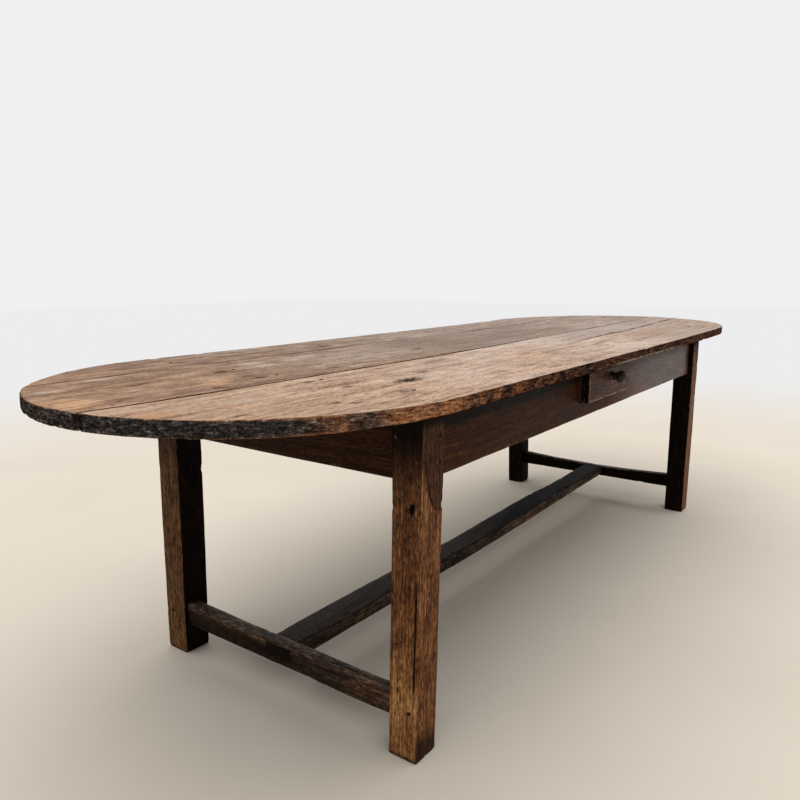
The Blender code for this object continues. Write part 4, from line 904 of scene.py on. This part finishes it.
def makeApron(name, outward, seed):
    low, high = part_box("apron_" + name)
    longWay = outward[1] != 0
    axis, across = (0, 1) if longWay else (1, 0)
    farLeg = "leg_front_right" if longWay else "leg_back_left"
    start, stop = levelBox("leg_front_left", high.z)[1][axis], levelBox(farLeg, high.z)[0][axis]
    centre, middleZ = (start + stop) / 2, (low.z + high.z) / 2
    face = (low if outward[across] < 0 else high)[across]
    origin = (centre, face, middleZ) if longWay else (face, centre, middleZ)
    half, tall = (stop - start) / 2 + apron["sunk"], (high.z - low.z) / 2
    us, vs = (np.linspace(-reach, reach, int(2 * reach / apron["lineStep"])) for reach in (half, tall))
    keep = None
    if name == "front":
        holeLow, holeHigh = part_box("drawer_front")
        cutLow, cutHigh = holeLow.x - apron["gapBeside"] - centre, holeHigh.x + apron["gapBeside"] - centre
        cutBelow = holeLow.z - apron["gapBelow"] - middleZ
        us, vs = withLines(us, cutLow, cutHigh), withLines(vs, cutBelow)
        midU, midV = (us[1:] + us[:-1]) / 2, (vs[1:] + vs[:-1]) / 2
        keep = ~((midU[:, None] > cutLow) & (midU[:, None] < cutHigh) & (midV[None, :] > cutBelow))
    xs, ys = np.meshgrid(us, vs, indexing="ij")
    shape = slab(xs, ys, high[across] - low[across], apron["arris"], apron["rows"], keep)
    age(shape, apron["wear"], seed)
    side, height, along = shape["side"], shape["grain"][:, 1], shape["grain"][:, 0] / half
    # painted shade: the back face dark, and the upper part darkened where the top shades it
    shape["dirt"] = np.where(side < 0, 0.9, 0.62 * smooth(0.0, 0.07, height))
    # a painted shadow band along the upper edge, weaker towards the right on the long aprons
    shadowUnderTop = 0.95 - 0.5 * longWay * smooth(-0.6, 0.0, along)
    deepen(shape, "dirt", shadowUnderTop * smooth(-0.005, 0.035, height))
    if longWay:
        # long aprons: painted shade darker towards the left end, and in the corner against the right-hand leg
        deepen(shape, "dirt", 0.42 * smooth(0.3, -0.1, along))
        deepen(shape, "dirt", 0.85 * smooth(0.965, 0.985, along))
    else:
        # end aprons: painted shade under the top's long overhang
        deepen(shape, "dirt", 0.58)
    shape["wear"] = shape["edge"] * (side >= 0) * smooth(0.03, -0.06, height) * 0.85 + shape["bite"] * 0.8
    if name == "front":
        scuffs = swell(shape["grain"] * np.array((1, 0.12, 0)), apron["scuffSize"], seed)
        pastCut = shape["grain"][:, 0] - cutHigh
        beside = bell(pastCut - apron["scuffReach"], apron["scuffReach"]) * (pastCut > 0)
        deepen(shape, "wear", (side > 0) * beside * (0.5 + 0.5 * scuffs))
    shape["gold"] = (side > 0) * (0.12 - 0.12 * longWay * smooth(0.0, 0.3, along))
    shape["polish"] = 0.85 * smooth(0.0, 0.45, along) * longWay
    moveGrain(shape, seed)
    points = turn(shape, outward, origin)["points"]
    points[:, 2] += liftHead(points[:, 0], points[:, 2])
    title = "apron" + name.title().replace("_", "")
    return makePiece(title, shape, woods["apronWood"], ["apron_" + name])


ways = {"front": (0, -1, 0), "back": (0, 1, 0), "left_end": (-1, 0, 0), "right_end": (1, 0, 0)}
for k, (name, outward) in enumerate(ways.items()):
    makeApron(name, outward, seed=61 + k)
print("aprons: 4")


# Stretchers: one at each end between the legs, and a hewn one down the middle, tenoned through them

stretcher = {
    "arris": 0.006, "spacing": 0.0035, "step": 0.0045, "endArris": 0.001,
    "endSunk": 0.008, "centreSunk": 0.006, "hollow": {"left": 0.004, "right": 0.012},
    "wear": {"wave": 0.0014, "waveSize": (0.13, 0.03, 0.03), "ripple": 0.0004,
             "rippleSize": (0.03, 0.007, 0.007), "rub": 0.0024, "chip": 0.006,
             "chipSize": (0.03, 0.016, 0.016), "chipShare": 0.26},
    "hewnFront": ((-0.93, -0.46, 0.04, 0.49, 0.97), (-0.041, -0.045, -0.049, -0.042, -0.036)),
    "hewnBack": ((-0.93, -0.62, -0.16, 0.14, 0.38, 0.58, 0.97),
                 (0.046, 0.049, 0.039, 0.043, 0.048, 0.04, 0.046)),
    # length, width, height, arris, spacing, step and end arris
    "tenon": (0.02, 0.082, 0.026, 0.0015, 0.003, 0.004, 0.001), "tenonDepth": 0.0192,
}
tenonWear = {**stretcher["wear"], "wave": 0.0009, "rub": 0.0008, "chip": 0.003}


def rail(length, width, height, seed):
    sizes = (stretcher[key] for key in ("arris", "spacing", "step", "endArris"))
    return age(beam(length, width, height, *sizes), stretcher["wear"], seed)


def makeEndStretcher(hand, seed):
    node = "stretcher_" + hand + "_end"
    low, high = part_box(node)
    outward = -1 if hand == "left" else 1
    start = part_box("leg_front_" + hand)[1].y - stretcher["endSunk"]
    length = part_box("leg_back_" + hand)[0].y + stretcher["endSunk"] - start
    shape = rail(length, high.x - low.x, high.z - low.z, seed)
    along, across, up = shape["points"].T
    share = along / length
    sag = stretcher["hollow"][hand] * np.sin(math.pi * np.clip(share, 0, 1)) * smooth(-0.02, 0.03, up)
    x, z = (low.x + high.x) / 2 - across, (low.z + high.z) / 2 + up - sag
    shape["points"] = np.column_stack([x, start + along, z])
    shape["out"] = shape["out"][:, (1, 0, 2)] * (-1, 1, 1)
    outX, outZ = outward * shape["out"][:, 0], shape["out"][:, 2]
    # painted shade: the inner face and the underside dark
    shape["dirt"] = np.maximum(0.8 * facing(-outX), 0.9 * facing(-outZ))
    deepen(shape, "dirt", (0.3 + 0.35 * smooth(0.3, 0.5, share)) * smooth(0.022, 0.008, up))
    trodden = facing(outZ) * smooth(0.75, 0.35, share)
    shape["wear"] = 0.5 * shape["edge"] * smooth(-0.01, 0.02, up) + shape["bite"] * 0.7 + 0.5 * trodden
    shape["gold"] = 0.1 + 0.12 * smooth(0.4, 0.15, share)
    moveGrain(shape, seed)
    return makePiece("stretcher" + hand.capitalize(), shape, woods["stretcherWood"], [node])


def makeCentreStretcher(seed):
    low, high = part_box("stretcher_centre")
    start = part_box("stretcher_left_end")[1].x - stretcher["centreSunk"]
    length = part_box("stretcher_right_end")[0].x + stretcher["centreSunk"] - start
    width = high.y - low.y
    shape = rail(length, width, high.z - low.z, seed)
    along, across, up = shape["points"].T
    x = start + along
    front, back = np.interp(x, *stretcher["hewnFront"]), np.interp(x, *stretcher["hewnBack"])
    y = front + (back - front) * (across / width + 0.5)
    shape["points"] = np.column_stack([x, y, (low.z + high.z) / 2 + up])
    outY, outZ = shape["out"][:, 1], shape["out"][:, 2]
    # the upper face darker towards the far end; the underside painted in shade
    shape["dirt"] = np.maximum((0.35 + 0.45 * smooth(-0.4, 0.4, x)) * facing(outZ), 0.9 * facing(-outZ))
    shape["wear"] = shape["edge"] * smooth(-0.01, 0.01, up) * 0.5 + shape["bite"] * 0.5
    shape["gold"] = 0.05 + 0.25 * facing(-outY) * smooth(0.012, -0.012, up)
    moveGrain(shape, seed)
    return makePiece("stretcherCentre", shape, woods["stretcherWood"], ["stretcher_centre"])


def makeTenonEnd(hand, seed):  # the centre stretcher's tenon, seen on the outside of an end stretcher
    endLow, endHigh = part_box("stretcher_" + hand + "_end")
    low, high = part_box("stretcher_centre")
    shape = age(beam(*stretcher["tenon"]), tenonWear, seed)
    along, across, up = shape["points"].T
    outward, face = (-1, endLow.x) if hand == "left" else (1, endHigh.x)
    x = face - outward * (stretcher["tenonDepth"] - along)
    shape["points"] = np.column_stack([x, (low.y + high.y) / 2 + outward * across, (low.z + high.z) / 2 + up])
    shape["dirt"] = np.full(len(x), 0.75)
    shape["wear"] = shape["edge"] * 0.25
    return makePiece("tenonEnd" + hand.capitalize(), shape, woods["stretcherWood"], [])


makeEndStretcher("left", seed=71)
makeEndStretcher("right", seed=72)
makeCentreStretcher(seed=73)
makeTenonEnd("left", seed=74)
makeTenonEnd("right", seed=75)
print("stretchers: 3")


# The drawer: a worn front with a turned knob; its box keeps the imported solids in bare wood

drawer = {"arris": 0.003, "lineStep": 0.0045, "rows": 3, "inset": 0.0006, "seed": 81,
          "wear": {**apron["wear"], "wave": 0.0005, "rub": 0.0018, "chip": 0.004, "chipShare": 0.24}}
drawerLow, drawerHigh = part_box("drawer_front")
halfWide, halfTall = (drawerHigh.x - drawerLow.x) / 2 - drawer["inset"], (drawerHigh.z - drawerLow.z) / 2
us, vs = (np.linspace(-reach, reach, int(2 * reach / drawer["lineStep"])) for reach in (halfWide, halfTall))
xs, ys = np.meshgrid(us, vs, indexing="ij")
shape = slab(xs, ys, drawerHigh.y - drawerLow.y, drawer["arris"], drawer["rows"])
age(shape, drawer["wear"], drawer["seed"])
u, v, side = shape["grain"][:, 0], shape["grain"][:, 1], shape["side"]
# painted shade: the ends of the front where they stand out of the apron, its back face, and its upper half
# under the top's edge
shadedFlanks = (side == 0) & (np.abs(u) > halfWide - 0.002) & (shape["points"][:, 2] < -0.005)
shape["dirt"] = 0.35 * smooth(0.0, 0.055, v) + 0.85 * (side < 0) + 0.8 * shadedFlanks
handled = np.maximum(smooth(-halfWide + 0.02, -halfWide, u), smooth(-halfTall + 0.02, -halfTall, v))
shape["wear"] = shape["edge"] * handled + shape["bite"] * 0.7
rubbedSides = np.maximum(smooth(0.010, 0.002, v + halfTall), 0.8 * smooth(0.014, 0.002, u + halfWide))
deepen(shape, "wear", 0.85 * rubbedSides * (side > 0))
shape["gold"] = 0.2 * smooth(0.03, -0.05, v)
shape["polish"] = np.full(len(u), 0.1)
drawerMiddle = (drawerLow + drawerHigh) / 2
turn(shape, (0, -1, 0), (drawerMiddle.x, drawerLow.y, drawerMiddle.z))
makePiece("drawerFront", shape, woods["drawerWood"], ["drawer_front"], "drawer")

knob = {
    "segments": 48, "rings": 40, "fuller": 1.07, "drawnLength": 0.044, "sunk": 0.001,
    "profile": (   # distance from the drawer front, radius
        (0, 0.0140), (0.003, 0.0140), (0.005, 0.0120), (0.008, 0.0108), (0.012, 0.0114), (0.0150, 0.0128),
        (0.0172, 0.0118), (0.0190, 0.0098), (0.0208, 0.0130), (0.0224, 0.0162), (0.0250, 0.0176),
        (0.0290, 0.0176), (0.0330, 0.0168), (0.0370, 0.0150), (0.0402, 0.0118), (0.0425, 0.0072),
        (0.0435, 0.0030)),
}
knobLow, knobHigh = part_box("drawer_knob")
axisX, axisZ = (knobLow.x + knobHigh.x) / 2, (knobLow.z + knobHigh.z) / 2
scaleOut = (drawerLow.y - knobLow.y) / knob["drawnLength"]
seatY = drawerLow.y + knob["sunk"]
marks = np.array(knob["profile"])
fineOut = np.linspace(0, marks[-1, 0], knob["rings"])
fineRadius = np.interp(fineOut, marks[:, 0], marks[:, 1])
fineRadius[1:-1] = (fineRadius[:-2] + 2 * fineRadius[1:-1] + fineRadius[2:]) / 4
fineRadius *= knob["fuller"] * (knobHigh.x - knobLow.x) / 2 / fineRadius.max()
n, last = knob["segments"], (knob["rings"] - 1) * knob["segments"]
angles = np.linspace(0, 2 * math.pi, n, endpoint=False)
points = [(axisX + r * math.cos(a), seatY - d * scaleOut, axisZ + r * math.sin(a))
          for d, r in zip(fineOut, fineRadius) for a in angles]
points += [(axisX, seatY, axisZ), (axisX, knobLow.y, axisZ)]
faces = [[k + i, k + n + i, k + n + (i + 1) % n, k + (i + 1) % n]
         for k in range(0, last, n) for i in range(n)]
faces += [[len(points) - 2, i, (i + 1) % n] for i in range(n)]
faces += [[len(points) - 1, last + (i + 1) % n, last + i] for i in range(n)]
knobShape = {"points": np.array(points), "faces": faces, "grain": np.array(points)}
makePiece("drawerKnob", knobShape, woods["knobWood"], ["drawer_knob"], "drawer")

for name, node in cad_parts.items():
    if name.startswith("drawer_") and not node.hide_render:
        node.data.materials.clear()
        node.data.materials.append(woods["bareDrawerWood"])
print("drawer: front, knob and box")


# Pegs: cleft pins driven through every joint and down through the top, laid out by Geometry Nodes

peg = {"topDiameter": 0.010, "frameDiameter": 0.009, "proud": 0.0012, "topProud": 0.0002, "length": 0.008,
       "sides": 10, "spin": 3.0, "seed": 5, "tipRadius": 0.42, "footRadius": 0.5, "bands": 3}


def pegTree():
    tree = bpy.data.node_groups.new("pegHeads", "GeometryNodeTree")
    canvas["tree"] = tree
    for label, kind in (("Geometry", "Geometry"), ("Sides", "Int"), ("Length", "Float"), ("Spin", "Float"),
                        ("Seed", "Int"), ("Material", "Material")):
        tree.interface.new_socket(label, in_out="INPUT", socket_type="NodeSocket" + kind)
    tree.interface.new_socket("Geometry", in_out="OUTPUT", socket_type="NodeSocketGeometry")
    given = put("NodeGroupInput").outputs
    pin = put("GeometryNodeMeshCone", {
        "Vertices": given["Sides"], "Side Segments": peg["bands"], "Radius Top": peg["tipRadius"],
        "Radius Bottom": peg["footRadius"], "Depth": given["Length"]}, fill_type="TRIANGLE_FAN")
    aim = put("GeometryNodeInputNamedAttribute", {"Name": "aim"}, data_type="FLOAT_VECTOR")
    girth = put("GeometryNodeInputNamedAttribute", {"Name": "girth"}, data_type="FLOAT").outputs["Attribute"]
    size = put("CombineXYZ", {"X": girth, "Y": girth, "Z": 1.0}).outputs["Vector"]
    align = put("FunctionNodeAlignRotationToVector", {"Vector": aim.outputs["Attribute"]}, axis="Z")
    chance = put("FunctionNodeRandomValue", {3: given["Spin"], "Seed": given["Seed"]}, data_type="FLOAT")
    roll = put("FunctionNodeAxisAngleToRotation", {"Axis": (0, 0, 1), "Angle": chance.outputs[1]})
    turned = {"Rotation": align.outputs["Rotation"], "Rotate By": roll.outputs["Rotation"]}
    rotate = put("FunctionNodeRotateRotation", turned, rotation_space="LOCAL")
    spread = put("GeometryNodeInstanceOnPoints", {
        "Points": given["Geometry"], "Instance": pin.outputs["Mesh"], "Rotation": rotate.outputs["Rotation"],
        "Scale": size})
    real = put("GeometryNodeRealizeInstances", {"Geometry": spread.outputs["Instances"]})
    paint = {"Geometry": real.outputs["Geometry"], "Material": given["Material"]}
    put("NodeGroupOutput", {"Geometry": put("GeometryNodeSetMaterial", paint).outputs["Geometry"]})
    return tree


pegNodes = sorted(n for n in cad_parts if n.startswith(("peg_", "top_peg_")))
spots, aims, girths = [], [], []


def addPeg(place, aim, girth):
    spots.append(place + aim * (peg["proud"] - peg["length"]))
    aims.append(aim)
    girths.append(girth)


for name in pegNodes:
    low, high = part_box(name)
    middle = (low + high) / 2
    if name.startswith("top_peg_"):
        face = topZ + peg["topProud"] - peg["proud"] + lift(middle.x)
        addPeg(Vector((middle.x, middle.y, face)), Vector((0, 0, 1)), peg["topDiameter"])
        continue
    axis = max(range(3), key=lambda k: high[k] - low[k])
    for sign, face in ((-1, low[axis]), (1, high[axis])):
        aim, place = Vector((0, 0, 0)), middle.copy()
        aim[axis], place[axis] = sign, face
        if axis == 1 and sign > 0 and name.startswith("peg_back_left_"):  # on the stouter leg's face
            place.y += leg["fuller"]["leg_back_left"][1]
        addPeg(place, aim, peg["frameDiameter"])
guide = bpy.data.meshes.new("pegs")
guide.from_pydata([tuple(p) for p in spots], [], [])
guide.attributes.new("aim", "FLOAT_VECTOR", "POINT").data.foreach_set("vector", [c for a in aims for c in a])
guide.attributes.new("girth", "FLOAT", "POINT").data.foreach_set("value", girths)
pegs = addObject("pegs", guide)
modifier = pegs.modifiers.new("pegHeads", "NODES")
modifier.node_group = pegTree()
pegValues = {"Sides": peg["sides"], "Length": peg["length"], "Spin": peg["spin"], "Seed": peg["seed"],
             "Material": woods["pegWood"]}
for item in modifier.node_group.interface.items_tree:
    if item.in_out == "INPUT" and item.name in pegValues:
        modifier[item.identifier] = pegValues[item.name]
pegMesh = bpy.data.meshes.new_from_object(pegs.evaluated_get(bpy.context.evaluated_depsgraph_get()))
pegs.modifiers.remove(modifier)
pegs.data = pegMesh
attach(pegs, "table")
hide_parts(*pegNodes)
print("pegs:", len(spots), "ends from", len(pegNodes), "pins,", len(pegMesh.polygons), "faces")


# Studio: pale floor fading to white, one broad soft light from above, camera at the photograph's place

studio = {
    "cameraPlace": (-1.9877, -1.1161, 0.9601), "yaw": 0.9338, "pitch": 0.1746, "roll": -0.0042,
    "lens": 31.893, "sensor": 36,
    "skyLevel": 0.27, "sunLevel": 0.82, "sunSpread": 96, "backdrop": 0.87, "roomLevel": 0.1,
    "wallWay": (0.75, 0.66, 0), "floorSize": 40, "floorNear": ("#dbd0c0", "#e9dfd0"), "floorFar": "#e4e4e4",
    "floorRough": 0.7, "fadeFrom": 2.0, "fadeTo": 5.5,
}
camera = addObject("camera", bpy.data.cameras.new("camera"))
camera.data.sensor_width = studio["sensor"]
camera.data.lens = studio["lens"]
yaw, pitch, roll = studio["yaw"], studio["pitch"], studio["roll"]
forward = Vector((math.sin(yaw) * math.cos(pitch), math.cos(yaw) * math.cos(pitch), -math.sin(pitch)))
right = Vector((math.cos(yaw), -math.sin(yaw), 0))
upward = right.cross(forward)
rightTilt = math.cos(roll) * right + math.sin(roll) * upward
upTilt = -math.sin(roll) * right + math.cos(roll) * upward
rows = [[rightTilt[k], upTilt[k], -forward[k], studio["cameraPlace"][k]] for k in range(3)]
camera.matrix_world = Matrix(rows + [[0, 0, 0, 1]])
scene.camera = camera

sun = addObject("softSky", bpy.data.lights.new("softSky", "SUN"))
sun.data.energy = studio["sunLevel"] * math.pi
sun.data.angle = math.radians(studio["sunSpread"])
sun.location = (0, 0, 4)

world = bpy.data.worlds.new("studio")
scene.world = world
world.use_nodes = True
canvas["tree"] = world.node_tree
paths = put("LightPath").outputs
seen = calc("MAXIMUM", paths["Is Camera Ray"], paths["Is Glossy Ray"])
seen = calc("MAXIMUM", seen, paths["Is Transmission Ray"])
background = world.node_tree.nodes["Background"].inputs
background["Color"].default_value = (1, 1, 1, 1)
# polished wood mirrors the pale wall behind the table, and a dimmer room on the other sides
toWall = vectors("DOT_PRODUCT", put("TexCoord").outputs["Generated"], studio["wallWay"], "Value")
mirrored = between(ease(toWall, 0.15, 0.75), studio["roomLevel"], studio["backdrop"])
shown = calc("MAXIMUM", mirrored, times(paths["Is Camera Ray"], studio["backdrop"]))
feed(background["Strength"], between(seen, studio["skyLevel"], shown))

floorMesh = bpy.data.meshes.new("floor")
half = studio["floorSize"] / 2
corners = [(-half, -half, 0), (half, -half, 0), (half, half, 0), (-half, half, 0)]
floorMesh.from_pydata(corners, [], [(0, 1, 2, 3)])
floor = addObject("floor", floorMesh)
floorPaint, shader = startMaterial("paleFloor")
spot = put("TexCoord").outputs["Object"]
far = ease(vectors("LENGTH", spot, output="Value"), studio["fadeFrom"], studio["fadeTo"])
near = ramp(noise(spot, (1.2, 1.2, 1.2), 3), studio["floorNear"])
feed(shader["Base Color"], blend(far, near, tint(studio["floorFar"])))
shader["Roughness"].default_value = studio["floorRough"]
shader["Specular IOR Level"].default_value = 0.0
floorMesh.materials.append(floorPaint)

scene.view_settings.view_transform = "Standard"
